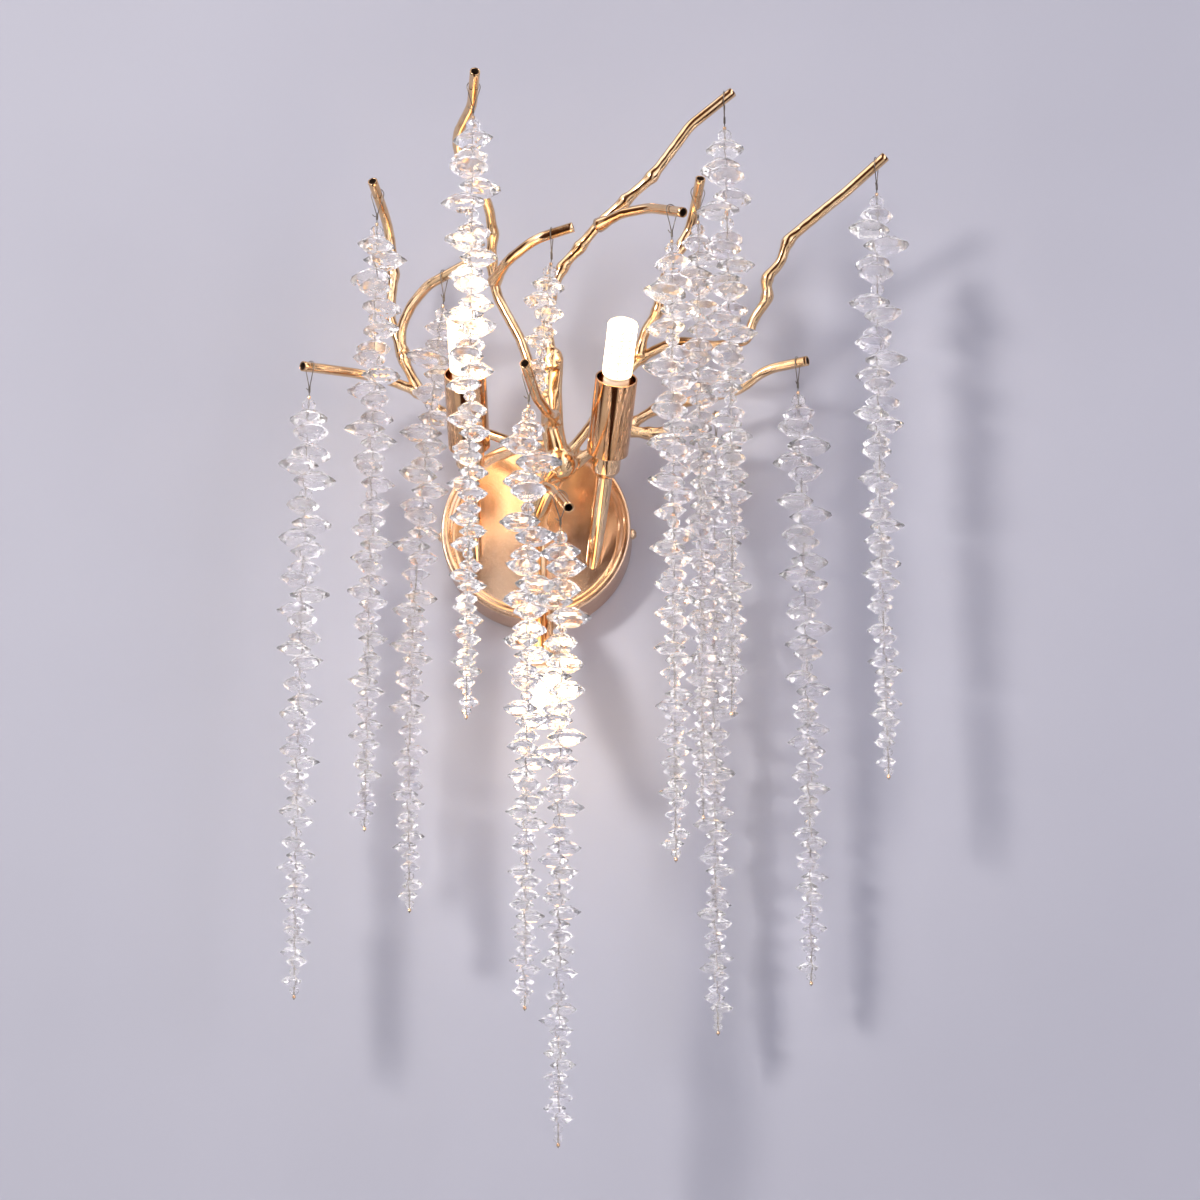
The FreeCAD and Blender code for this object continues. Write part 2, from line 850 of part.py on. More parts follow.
def beadStack(line, scale):
    """What is threaded on a string, from the top: kind, size, height, drop and offset."""
    stack = []
    beadHeight = size("beadRadius") * 2 * math.sin(math.radians(60))
    start = size("loopDrop") + size("twistLength") + size("crimpGap") + size("crimpLength")
    drop = start + beadHeight / 2 + size("crystalGap")
    stack.append(("bead", size("beadRadius"), 0, drop, 0))
    drop += beadHeight / 2 + size("crystalGap")
    firstCrystal = drop
    endBeadHeight = size("endBeadRadius") * 2 * math.sin(math.radians(60))
    lastCrystal = line.length - endBeadHeight - size("crimpLength") - 1
    count = 0
    while drop < lastCrystal - size("endCrystalHeight"):
        share = (drop - firstCrystal) / (lastCrystal - firstCrystal)
        length = size("topCrystalLength") * (1 - share) + size("endCrystalLength") * share
        height = size("topCrystalHeight") * (1 - share) + size("endCrystalHeight") * share
        variation = 1 - 0.16 * ((count * 0.618) % 1)
        if count % 13 == 5:
            radius = size("beadRadius") * (1 - 0.35 * share)
            height = radius * 2 * math.sin(math.radians(60))
            stack.append(("bead", radius, 0, drop + height / 2, 0))
        else:
            length *= scale * variation * (0.8 if count == 0 else 1)
            # the first hangs from its middle, and the others are drilled nearer one end
            offCentre = size("topDrillShare") * (1 - share) + size("endDrillShare") * share
            shift = length * offCentre if count else 0
            stack.append(("crystal", length, height, drop + height / 2, shift))
        drop += height + size("crystalGap")
        count += 1
    drop += endBeadHeight / 2
    stack.append(("bead", size("endBeadRadius"), 0, drop, 0))
    return stack, drop + endBeadHeight / 2


def wireLoop(line):
    """The loop over the tube: an arc round it and two straight legs down to the twist."""
    wire = size("wireRadius")
    tube = size("tubeRadius") / math.cos(line.slope)
    radius = tube + size("loopGap") + wire
    side = line.axis.cross(up)
    reach = math.acos(radius / size("loopDrop"))
    legEnd = 1.2 * wire
    ends = []
    for sign in (1, -1):
        touch = side * (sign * radius * math.sin(reach)) - up * (radius * math.cos(reach))
        legDirection = side * (-sign * math.cos(reach)) - up * math.sin(reach)
        legLength = (radius * math.sin(reach) - legEnd) / math.cos(reach)
        ends.append((line.hang + touch + legDirection * legLength, line.hang + touch))
    top = line.hang + up * radius
    (footA, touchA), (footB, touchB) = ends
    path = Part.Wire(
        [
            Part.makeLine(footA, touchA),
            Part.Arc(touchA, top, touchB).toShape(),
            Part.makeLine(touchB, footB),
        ]
    )
    return roundBar(path, wire)


def stringWire(line, end):
    """The wire from its loop to the end crimp, with its twist and cut tail."""
    twistTop = size("loopDrop") - 1.5
    twistEnd = size("loopDrop") + size("twistLength")
    twist = Part.makeCylinder(
        size("twistRadius"), twistEnd - twistTop, line.at(twistEnd), up
    )
    side = line.axis.cross(up)
    tail = Part.makeCylinder(
        size("wireRadius"),
        size("tailLength"),
        line.at(size("loopDrop")),
        (side * 2 + up).normalize(),
    )
    wireStart = twistEnd - 1
    wireEnd = end + size("crimpLength") + 1
    runs = 10 if line.bow else 1
    drops = [wireStart + (wireEnd - wireStart) * index / runs for index in range(runs + 1)]
    points = [line.at(drop) for drop in drops]
    main = roundBar(bentRoute(points, 400), size("wireRadius"))
    return main.fuse([twist, wireLoop(line), tail]).Solids[0]


def crimp(line, drop):
    """A crimp tube round the wire, below a drop."""
    base = line.at(drop + size("crimpLength"))
    heading = line.heading(drop)
    barrel = Part.makeCylinder(size("crimpRadius"), size("crimpLength"), base, heading)
    bore = Part.makeCylinder(
        size("wireRadius") + size("fitGap"), size("crimpLength"), base, heading
    )
    return barrel.cut(bore)


def makeStrings():
    for number, details in enumerate(strings, start=1):
        line = StringLine(details)
        stack, end = beadStack(line, details.get("scale", 1))
        topCrimp = size("loopDrop") + size("twistLength") + size("crimpGap")
        wirePieces = [stringWire(line, end), crimp(line, topCrimp), crimp(line, end + 0.2)]
        wire = feature(f"stringWire{number}", Part.makeCompound(wirePieces))
        node(wire, f"string_{number:02d}_wire")
        pieces = []
        for index, (kind, length, height, drop, shift) in enumerate(stack):
            piece = bead(length) if kind == "bead" else crystal(length, height, shift)
            spin = Rotation(up, details["turn"] + index * goldenTurn)
            pose = turnedTo(line.heading(drop)).multiply(spin)
            piece.Placement = Placement(line.at(drop), pose)
            pieces.append(piece)
        crystals = feature(f"stringCrystals{number}", Part.makeCompound(pieces))
        node(crystals, f"string_{number:02d}_crystals")
        axis = [round(value, 4) for value in line.axis]
        hang = [round(value, 3) for value in line.hang]
        print(f"string {number}: pivot {hang} axis {axis} pieces {len(pieces)}")


makeCanopy()
makeBracket()
makeScrews()
makeTerminalBlock()
hub = makeHub()
makeBranches(hub)
makeLamps()
makeLeads()
makeStrings()
doc.recompute()

for item in doc.Objects:
    if "Invalid" in item.State or "Error" in item.State:
        raise RuntimeError(f"{item.Name} failed: {item.State}")
for item in nodes:
    if item.Shape.isNull() or not item.Shape.isValid() or not item.Shape.Solids:
        raise RuntimeError(f"{item.Label} has no valid shape")

for item in nodes:
    item.Shape.exportStep(f"parts/{item.Label}.step")
    print(f"{item.Label}: {len(item.Shape.Solids)} solids, {item.Shape.Volume:.0f} mm3")
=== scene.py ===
import math

import bpy
import numpy as np
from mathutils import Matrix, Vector


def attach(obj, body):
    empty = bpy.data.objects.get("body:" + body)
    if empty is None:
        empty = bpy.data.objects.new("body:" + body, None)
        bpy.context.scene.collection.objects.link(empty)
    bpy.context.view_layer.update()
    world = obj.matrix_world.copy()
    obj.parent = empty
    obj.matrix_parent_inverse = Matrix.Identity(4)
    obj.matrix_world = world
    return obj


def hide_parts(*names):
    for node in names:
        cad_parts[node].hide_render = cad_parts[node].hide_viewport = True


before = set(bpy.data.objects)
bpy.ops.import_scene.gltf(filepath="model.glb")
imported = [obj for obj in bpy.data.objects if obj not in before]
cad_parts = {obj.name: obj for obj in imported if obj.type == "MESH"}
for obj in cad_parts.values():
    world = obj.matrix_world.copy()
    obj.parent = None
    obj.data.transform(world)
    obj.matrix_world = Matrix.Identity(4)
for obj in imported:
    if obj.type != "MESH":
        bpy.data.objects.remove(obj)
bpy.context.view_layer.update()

# Crystal wall sconce. Lengths below are in millimetres in the CAD frame: X right, Z up, the wall at
# Y = 0 and the room towards -Y. Meshes are turned into metres when they are made.

scene = bpy.context.scene
scene.view_settings.view_transform = "Standard"
forward = np.array([0.0, -1.0, 0.0])
upward = np.array([0.0, 0.0, 1.0])


# numbers into meshes

def vector(*values):
    return np.array(values, dtype=float)


def unit(v):
    return v / np.linalg.norm(v)


def linear(code):
    # an sRGB hex code as linear red, green, blue and alpha
    parts = [int(code[i:i + 2], 16) / 255 for i in (1, 3, 5)]
    return [c / 12.92 if c <= 0.04045 else ((c + 0.055) / 1.055) ** 2.4 for c in parts] + [1.0]


def makePiece(name, points, faces, material, smooth=True, uv=None):
    mesh = bpy.data.meshes.new(name)
    mesh.from_pydata((np.asarray(points) * 0.001).tolist(), [], faces)
    mesh.polygons.foreach_set("use_smooth", [smooth] * len(mesh.polygons))
    if uv is not None:
        layer = mesh.uv_layers.new(name="UVMap")
        corner = np.empty(len(mesh.loops), dtype=np.int32)
        mesh.loops.foreach_get("vertex_index", corner)
        layer.data.foreach_set("uv", np.asarray(uv)[corner].ravel())
    mesh.materials.append(material)
    mesh.update()
    piece = bpy.data.objects.new(name, mesh)
    scene.collection.objects.link(piece)
    return piece


def gridFaces(rows, columns, start=0):
    # quads between rings of points that close on themselves
    i = np.arange(rows - 1)[:, None] * columns
    j = np.arange(columns)[None, :]
    k = (j + 1) % columns
    quads = np.stack([i + j, i + k, i + columns + k, i + columns + j], axis=-1)
    return (quads.reshape(-1, 4) + start).tolist()


def cornersOf(axis):
    # two directions across an axis
    helper = vector(0, 0, 1) if abs(axis[2]) < 0.9 else vector(1, 0, 0)
    first = unit(np.cross(helper, axis))
    return first, np.cross(axis, first)


def lathe(profile, base, axis, steps=72):
    # profile points (distance along the axis, radius) turned round the axis; UV runs in metres
    # round the piece and along its profile
    first, second = cornersOf(axis)
    angle = 2 * math.pi * np.arange(steps) / steps
    ring = np.cos(angle)[:, None] * first + np.sin(angle)[:, None] * second
    points, uv = [], []
    walked = 0
    for index, (along, radius) in enumerate(profile):
        if index:
            previous = profile[index - 1]
            walked += math.hypot(along - previous[0], radius - previous[1])
        points.append(base + axis * along + ring * radius)
        uv.append(np.column_stack([angle * max(radius, 1) * 0.001, np.full(steps, walked * 0.001)]))
    return np.concatenate(points), gridFaces(len(profile), steps), np.concatenate(uv)


def roundedProfile(corners, radius=0.5, steps=4):
    # each inner corner of a profile is cut back and turned through a short curve
    result = [corners[0]]
    for before, corner, after in zip(corners, corners[1:], corners[2:]):
        b, c, a = (np.array(p, dtype=float) for p in (before, corner, after))
        reach = min(radius, 0.45 * np.linalg.norm(c - b), 0.45 * np.linalg.norm(a - c))
        start, end = c + unit(b - c) * reach, c + unit(a - c) * reach
        for t in np.linspace(0, 1, steps):
            # a quadratic curve through the corner's neighbourhood
            point = (1 - t) ** 2 * start + 2 * t * (1 - t) * c + t ** 2 * end
            result.append(tuple(point))
    result.append(corners[-1])
    return result


def bentRoute(points, widest, step):
    # straight runs joined by tangent arcs, as points a step apart at most
    points = [np.array(p, dtype=float) for p in points]
    result = [points[0]]
    for before, corner, after in zip(points, points[1:], points[2:]):
        inward, outward = unit(corner - before), unit(after - corner)
        turn = math.acos(np.clip(inward @ outward, -1, 1))
        if turn < 0.01:
            result.append(corner)
            continue
        share = math.tan(turn / 2)
        reach = min(np.linalg.norm(corner - before), np.linalg.norm(after - corner))
        radius = min(0.45 * reach / share, widest)
        arcStart = corner - inward * radius * share
        centre = arcStart + unit(outward - inward * math.cos(turn)) * radius
        side = unit(outward - inward * math.cos(turn))
        for t in np.linspace(0, turn, max(3, int(turn * radius / step) + 2)):
            # an arc about its centre, from the run in to the run out
            result.append(centre - side * radius * math.cos(t) + inward * radius * math.sin(t))
    result.append(points[-1])
    filled = [result[0]]
    for a, b in zip(result, result[1:]):
        pieces = max(1, int(np.linalg.norm(b - a) / step))
        filled += [a + (b - a) * t for t in np.linspace(0, 1, pieces + 1)[1:]]
    return np.array(filled)


def pathFrames(path):
    # tangents and two cross directions carried along the path without twist
    tangent = np.gradient(path, axis=0)
    tangent /= np.linalg.norm(tangent, axis=1)[:, None]
    first = cornersOf(tangent[0])[0]
    sides = []
    for t in tangent:
        first = unit(first - t * (first @ t))
        sides.append(first)
    sides = np.array(sides)
    return tangent, sides, np.cross(tangent, sides)


def sweep(path, radii, sides, swell=None):
    # rings round a path; swell(distance, angle) is added to each radius
    _, first, second = pathFrames(path)
    angle = 2 * math.pi * np.arange(sides) / sides
    radius = np.repeat(np.asarray(radii, dtype=float)[:, None], sides, axis=1)
    walked = np.concatenate([[0], np.cumsum(np.linalg.norm(np.diff(path, axis=0), axis=1))])
    if swell is not None:
        radius = radius + swell(walked[:, None], angle[None, :])
    ring = np.cos(angle)[None, :, None] * first[:, None] + np.sin(angle)[None, :, None] * second[:, None]
    points = path[:, None] + ring * radius[:, :, None]
    return points.reshape(-1, 3), gridFaces(len(path), sides), walked


def closeEnds(faces, rows, sides, start=0):
    # one face over the first ring and one over the last
    first = list(range(start, start + sides))[::-1]
    last = list(range(start + (rows - 1) * sides, start + rows * sides))
    return faces + [first, last]


def joined(parts):
    # several (points, faces) as one
    points, faces, offset = [], [], 0
    for partPoints, partFaces in parts:
        points.append(np.asarray(partPoints))
        faces += [[v + offset for v in face] for face in partFaces]
        offset += len(partPoints)
    return np.concatenate(points), faces


# finishes

def addNode(tree, kind, sockets=None, links=None, stops=(), **settings):
    # a node with its settings, its sockets' values, its colour stops and its incoming links
    item = tree.nodes.new(kind)
    for key, value in settings.items():
        setattr(item, key, value)
    for key, value in (sockets or {}).items():
        item.inputs[key].default_value = value
    for index, (position, code) in enumerate(stops):
        item.color_ramp.elements[index].position = position
        item.color_ramp.elements[index].color = linear(code)
    for key, source in (links or {}).items():
        tree.links.new(source, item.inputs[key])
    return item


def makeFinish(name, sockets, tones, patch, roughness=None, grain=None, dent=None, rubbed=False):
    # a tone that drifts between two colours over patches, and a finer grain that dents the surface.
    # patch and grain are a noise's size in millimetres, its detail and its stretch; dent is the depth
    # in millimetres and its strength; a rubbed finish is rougher along the grain instead of the patches
    material = bpy.data.materials.new(name)
    material.use_nodes = True
    tree = material.node_tree
    shader = tree.nodes["Principled BSDF"]
    for key, value in sockets.items():
        shader.inputs[key].default_value = value
    where = addNode(tree, "ShaderNodeTexCoord")
    noises = []
    for millimetres, detail, *stretch in [patch] + ([grain] if grain else []):
        mapping = addNode(tree, "ShaderNodeMapping", {"Scale": stretch[0] if stretch else (1, 1, 1)},
                          {"Vector": where.outputs["Object"]})
        noise = addNode(tree, "ShaderNodeTexNoise", {"Scale": 1000 / millimetres, "Detail": detail},
                        {"Vector": mapping.outputs["Vector"]})
        noises.append(noise.outputs["Fac"])
    tone = addNode(tree, "ShaderNodeValToRGB", links={"Fac": noises[0]},
                   stops=[(0.35, tones[0]), (0.65, tones[1])])
    tree.links.new(tone.outputs["Color"], shader.inputs["Base Color"])
    if roughness:
        spread = addNode(tree, "ShaderNodeMapRange", {
            "From Min": 0.3, "From Max": 0.7, "To Min": roughness[0], "To Max": roughness[1]},
            {"Value": noises[-1] if rubbed else noises[0]})
        tree.links.new(spread.outputs["Result"], shader.inputs["Roughness"])
    if dent:
        bump = addNode(tree, "ShaderNodeBump", {"Distance": dent[0] * 0.001, "Strength": dent[1]},
                       {"Height": noises[-1]})
        tree.links.new(bump.outputs["Normal"], shader.inputs["Normal"])
    return material


def polishedGold():
    # French gold plate, machine polished: bright, with faint smears and a slightly uneven shine
    return makeFinish("polishedGold", {"Metallic": 1.0}, ("#E4C19B", "#EDD0AF"), patch=(14, 4),
                      roughness=(0.07, 0.13), grain=(12, 1), dent=(0.12, 0.12))


def cupGoldPaintedShade():
    # the same polish over the lamp cups, darkened as painted shade that stands in for the dark reflections
    # in the cups
    return makeFinish("cupGoldPaintedShade", {"Metallic": 1.0}, ("#CDA078", "#DBB18A"), patch=(14, 4),
                      roughness=(0.07, 0.13), grain=(12, 1), dent=(0.12, 0.12))


def branchGold():
    # the same plate over hand-worked tube: polished, but a little uneven to the eye
    return makeFinish("branchGold", {"Metallic": 1.0}, ("#E1BA8C", "#ECCCA5"), patch=(11, 4),
                      roughness=(0.08, 0.16), grain=(5, 2), dent=(0.2, 0.3))


def satinGold():
    # brushed plate: soft highlights with faint rubbed streaks
    return makeFinish("satinGold", {"Metallic": 1.0}, ("#DDB99C", "#E6C8AC"), patch=(30, 3),
                      roughness=(0.20, 0.27), grain=(2.2, 5, (0.5, 1, 0.16)), dent=(0.03, 0.12), rubbed=True)


def crystalGlass():
    # clear cut lead crystal; the share that isn't clear stands for light scattered inside dense stacks
    return makeFinish("crystalGlass", {"Transmission Weight": 0.91, "IOR": 1.58, "Roughness": 0.0},
                      ("#FBFAFF", "#FFFEFC"), patch=(20, 2))


def steelWire():
    # drawn steel wire: grey, with fine lines along it
    return makeFinish("steelWire", {"Metallic": 1.0, "Roughness": 0.3}, ("#6B645E", "#98928C"),
                      patch=(0.6, 2, (1, 1, 0.1)), dent=(0.03, 0.4))


def zincSteel():
    # bright zinc plate on pressed steel, with faint spangle
    return makeFinish("zincSteel", {"Metallic": 1.0}, ("#A3A6A8", "#C3C6C8"), patch=(5, 3),
                      roughness=(0.28, 0.42), grain=(1.0, 3), dent=(0.04, 0.4))


def whiteCeramic():
    # glazed steatite: off-white and a little glossy
    return makeFinish("whiteCeramic", {"Roughness": 0.3}, ("#E9E5DC", "#F4F1EA"), patch=(6, 3),
                      grain=(1.5, 3), dent=(0.05, 0.3))


def whiteNylon():
    # moulded nylon of the terminal block: a dull white
    return makeFinish("whiteNylon", {"Roughness": 0.5}, ("#DEDCD4", "#ECEAE4"), patch=(5, 3),
                      grain=(0.5, 2), dent=(0.03, 0.4))


def siliconeSleeve():
    # extruded silicone over the leads: matt and creamy
    return makeFinish("siliconeSleeve", {"Roughness": 0.6}, ("#D8D3C6", "#E6E2D8"), patch=(4, 3),
                      grain=(0.8, 2), dent=(0.05, 0.4))


def wallPaint():
    # pale lilac-grey emulsion, with a faint roller texture
    return makeFinish("wallPaint", {"Roughness": 0.85}, ("#CDCDD9", "#D1D1DD"), patch=(260, 2),
                      grain=(1.6, 3), dent=(0.08, 0.15))


def paintedShadeBore():
    # the inside of the tube, dark and dull: painted shade in the bore
    return makeFinish("paintedShadeBore", {"Metallic": 0.6, "Roughness": 0.7}, ("#2A1C14", "#4A3424"), patch=(3, 3),
                      dent=(0.1, 0.4))


def lampGlow(strength=12.0, lineShare=0.07):
    # a frosted capsule over rows of chips: bright cells with warm lines between them
    material = bpy.data.materials.new("lampGlow")
    material.use_nodes = True
    tree = material.node_tree
    shader = tree.nodes["Principled BSDF"]
    shader.inputs["Base Color"].default_value = linear("#FFF3DC")
    shader.inputs["Roughness"].default_value = 0.35
    where = addNode(tree, "ShaderNodeUVMap")
    # the pattern's own unit is 10 mm: chips of 6 by 5 mm with lines between them
    cells = addNode(tree, "ShaderNodeTexBrick", {
        "Scale": 100.0, "Brick Width": 0.6, "Row Height": 0.5, "Mortar Size": 0.055,
        "Mortar Smooth": 0.1, "Color1": (1, 1, 1, 1), "Color2": (0.93, 0.93, 0.93, 1),
        "Mortar": (0, 0, 0, 1)}, {"Vector": where.outputs["UV"]}, offset=0.0)
    tone = addNode(tree, "ShaderNodeValToRGB", links={"Fac": cells.outputs["Color"]},
                   stops=[(0.35, "#FFD28A"), (0.65, "#FFE0AC")])
    tree.links.new(tone.outputs["Color"], shader.inputs["Emission Color"])
    power = addNode(tree, "ShaderNodeMapRange", {"To Min": lineShare * strength, "To Max": strength},
                    {"Value": cells.outputs["Color"]})
    tree.links.new(power.outputs["Result"], shader.inputs["Emission Strength"])
    return material


gold = polishedGold()
shadedCupGold = cupGoldPaintedShade()
wornGold = branchGold()
satin = satinGold()
glass = crystalGlass()
steel = steelWire()
zinc = zincSteel()
ceramic = whiteCeramic()
nylon = whiteNylon()
silicone = siliconeSleeve()
boreShadeMetal = paintedShadeBore()
glow = lampGlow()
print("materials made")


# camera, light and wall

cameraLook = {  # metres, but the lens and its sensor in millimetres
    "lens": 106.4, "sensor": 36, "place": (0.1332, -2.1438, -0.7166), "aim": (0.0396, 0.0, -0.0400),
}
lightLook = {
    "key": {"power": 37, "place": (-1.45, -2.2, 0.75), "size": (0.5, 0.5), "colour": "#FFFAF4"},
    "fill": {"power": 9, "place": (1.6, -1.8, 0.2), "size": (0.9, 1.6), "colour": "#F2F0FF"},
    "target": (0.04, -0.08, -0.05), "ambient": 0.46, "metalRoom": 2.1, "crystalRoom": 4.9,
}


def makeCamera():
    # a long lens below the light's centre and a little to its right, looking up
    data = bpy.data.cameras.new("camera")
    data.lens = cameraLook["lens"]
    data.sensor_width = cameraLook["sensor"]
    data.clip_end = 50
    camera = bpy.data.objects.new("camera", data)
    scene.collection.objects.link(camera)
    camera.location = cameraLook["place"]
    aim = Vector(cameraLook["aim"]) - camera.location
    camera.rotation_euler = aim.to_track_quat("-Z", "Y").to_euler()
    scene.camera = camera


def makeAreaLight(kind):
    # a softbox turned to the light's middle
    look = lightLook[kind]
    data = bpy.data.lights.new(f"{kind}Light", "AREA")
    data.shape = "RECTANGLE"
    data.size, data.size_y = look["size"]
    data.energy = look["power"]
    data.color = linear(look["colour"])[:3]
    light = bpy.data.objects.new(f"{kind}Light", data)
    scene.collection.objects.link(light)
    light.location = look["place"]
    aim = Vector(lightLook["target"]) - light.location
    light.rotation_euler = aim.to_track_quat("-Z", "Y").to_euler()


def makeWorld():
    # a plain pale room, in which metal sees dark bands between softboxes and crystal sees small panes
    world = bpy.data.worlds.new("room")
    scene.world = world
    world.use_nodes = True
    tree = world.node_tree
    tree.nodes.clear()
    where = addNode(tree, "ShaderNodeTexCoord").outputs["Generated"]
    ray = addNode(tree, "ShaderNodeLightPath")
    # broad upright bands, brown between the softboxes, which are brighter towards the ceiling
    bands = addNode(tree, "ShaderNodeTexWave", {
        "Scale": 0.30, "Distortion": 0.7, "Detail": 1.0, "Detail Scale": 0.7, "Phase Offset": 0.6},
        {"Vector": where}, bands_direction="X")
    split = addNode(tree, "ShaderNodeSeparateXYZ", links={0: where})
    height = addNode(tree, "ShaderNodeMapRange", {
        "From Min": -0.5, "From Max": 0.6, "To Min": 0.35 * lightLook["metalRoom"],
        "To Max": lightLook["metalRoom"]}, {"Value": split.outputs["Z"]})
    # small panes and gaps, so that each facet catches a light or a dark one
    panes = addNode(tree, "ShaderNodeTexNoise", {"Scale": 8.0, "Detail": 1.0}, {"Vector": where})
    shown = addNode(tree, "ShaderNodeBackground", {
        "Color": linear("#E4E2EC"), "Strength": lightLook["ambient"]})
    for pattern, dark, light, darkCode, kind in (
            (bands, 0.50, 0.80, "#4A3226", "Is Glossy Ray"),
            (panes, 0.44, 0.54, "#17151B", "Is Transmission Ray")):
        ramp = addNode(tree, "ShaderNodeValToRGB", links={"Fac": pattern.outputs["Fac"]},
                       stops=[(dark, darkCode), (light, "#FBF6F6")])
        seen = addNode(tree, "ShaderNodeBackground", {"Strength": lightLook["crystalRoom"]},
                       {"Color": ramp.outputs["Color"]})
        if pattern is bands:
            tree.links.new(height.outputs["Result"], seen.inputs["Strength"])
        shown = addNode(tree, "ShaderNodeMixShader", links={
            "Fac": ray.outputs[kind], 1: shown.outputs[0], 2: seen.outputs[0]})
    addNode(tree, "ShaderNodeOutputWorld", links={"Surface": shown.outputs[0]})


def makeWall():
    # 5 m square and 1 mm behind the canopy's back edge
    corners = [(-2500, 1, -2500), (2500, 1, -2500), (2500, 1, 2500), (-2500, 1, 2500)]
    wall = makePiece("wall", corners, [(0, 1, 2, 3)], wallPaint(), smooth=False)


makeCamera()
makeAreaLight("key")
makeAreaLight("fill")
makeWorld()
makeWall()
print("camera, lights and wall made")


# canopy and its screws

canopyLook = {
    "radius": 60, "depth": 25, "wall": 1.2, "lipWidth": 4, "recess": 2, "lipFall": 3.2, "lipRound": 1.6,
    "boltHole": 4.2, "spareHole": 2.4, "spareHolePlace": (21.7, 14), "screwDepth": 11, "screwHead": 3.5,
    "steps": 160,
}


def makeCanopy():
    # the pan's rim and its recessed face, each a profile turned round the canopy's axis
    look = canopyLook
    front = look["depth"]
    face = front - look["recess"]
    outer, inner = look["radius"], look["radius"] - look["wall"]
    lipEdge = outer - look["lipWidth"]
    seam = lipEdge - 7  # the rim ends here, and the face starts 0.1 mm outside it
    rim = roundedProfile([
        (face - look["wall"], inner), (0.0, inner), (0.0, outer), (front, outer),
        (front, lipEdge), (face, lipEdge - look["lipFall"]), (face, seam)], look["lipRound"], 7)
    points, faces, uv = lathe(rim, vector(0, 0, 0), forward, look["steps"])
    pan = makePiece("canopyPan", points, faces, satin, uv=uv)
    # the recessed face runs from the lip to the bolt hole, and back out on its inner side
    disc = [(face, seam + 0.1), (face, look["boltHole"]),
            (face - look["wall"], look["boltHole"]), (face - look["wall"], inner)]
    points, faces, uv = lathe(disc, vector(0, 0, 0), forward, look["steps"])
    plate = makePiece("canopyFace", points, faces, satin, smooth=False, uv=uv)
    x, z = look["spareHolePlace"]
    sides = 40
    drill = lathe([(0, look["spareHole"]), (front, look["spareHole"])], vector(x, 0, z), forward, sides)
    cutWith(plate, drill[0], closeEnds(drill[1], 2, sides))
    for piece in (pan, plate):
        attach(piece, "fixture")
        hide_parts("canopy")


def cutWith(piece, points, faces):
    # a boolean cut by a closed shape, applied at once
    tool = makePiece("tool", points, faces, satin)
    boolean = piece.modifiers.new("cut", "BOOLEAN")
    boolean.object = tool
    boolean.solver = "EXACT"
    evaluated = piece.evaluated_get(bpy.context.evaluated_depsgraph_get())
    piece.data = bpy.data.meshes.new_from_object(evaluated)
    piece.modifiers.clear()
    bpy.data.objects.remove(tool)


def makeScrewHead(name, seat, axis):
    # a quarter-ellipse dome, whose points inside the cross recess are pushed down along the axis
    radius = canopyLook["screwHead"]
    rings, steps = 14, 64
    angle = 2 * math.pi * np.arange(steps) / steps
    first, second = cornersOf(axis)
    points = []
    for row in range(rings):
        latitude = 0.5 * math.pi * (rings - row) / rings
        out = radius * math.sin(latitude)
        height = radius * 0.95 * math.cos(latitude)
        x, y = out * np.cos(angle), out * np.sin(angle)
        arm = np.minimum(np.abs(x), np.abs(y))
        inCross = (arm < radius * 0.13) & (out < radius * 0.62)
        drop = np.where(inCross, radius * 0.3, 0)
        points.append(seat + x[:, None] * first + y[:, None] * second + (height - drop)[:, None] * axis)
    faces = gridFaces(rings, steps)
    faces.append(list(range((rings - 1) * steps, rings * steps)))
    head = makePiece(name, np.concatenate(points), faces, gold)
    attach(head, "fixture")
    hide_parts("canopy_side_screws")


def makeSideScrews():
    for index, side in enumerate((-1, 1)):
        seat = vector(side * canopyLook["radius"], -canopyLook["screwDepth"], 0)
        makeScrewHead(f"sideScrewHead{index + 1}", seat, vector(side, 0, 0))


makeCanopy()
makeSideScrews()
print("canopy made")


# root, trunk and branches

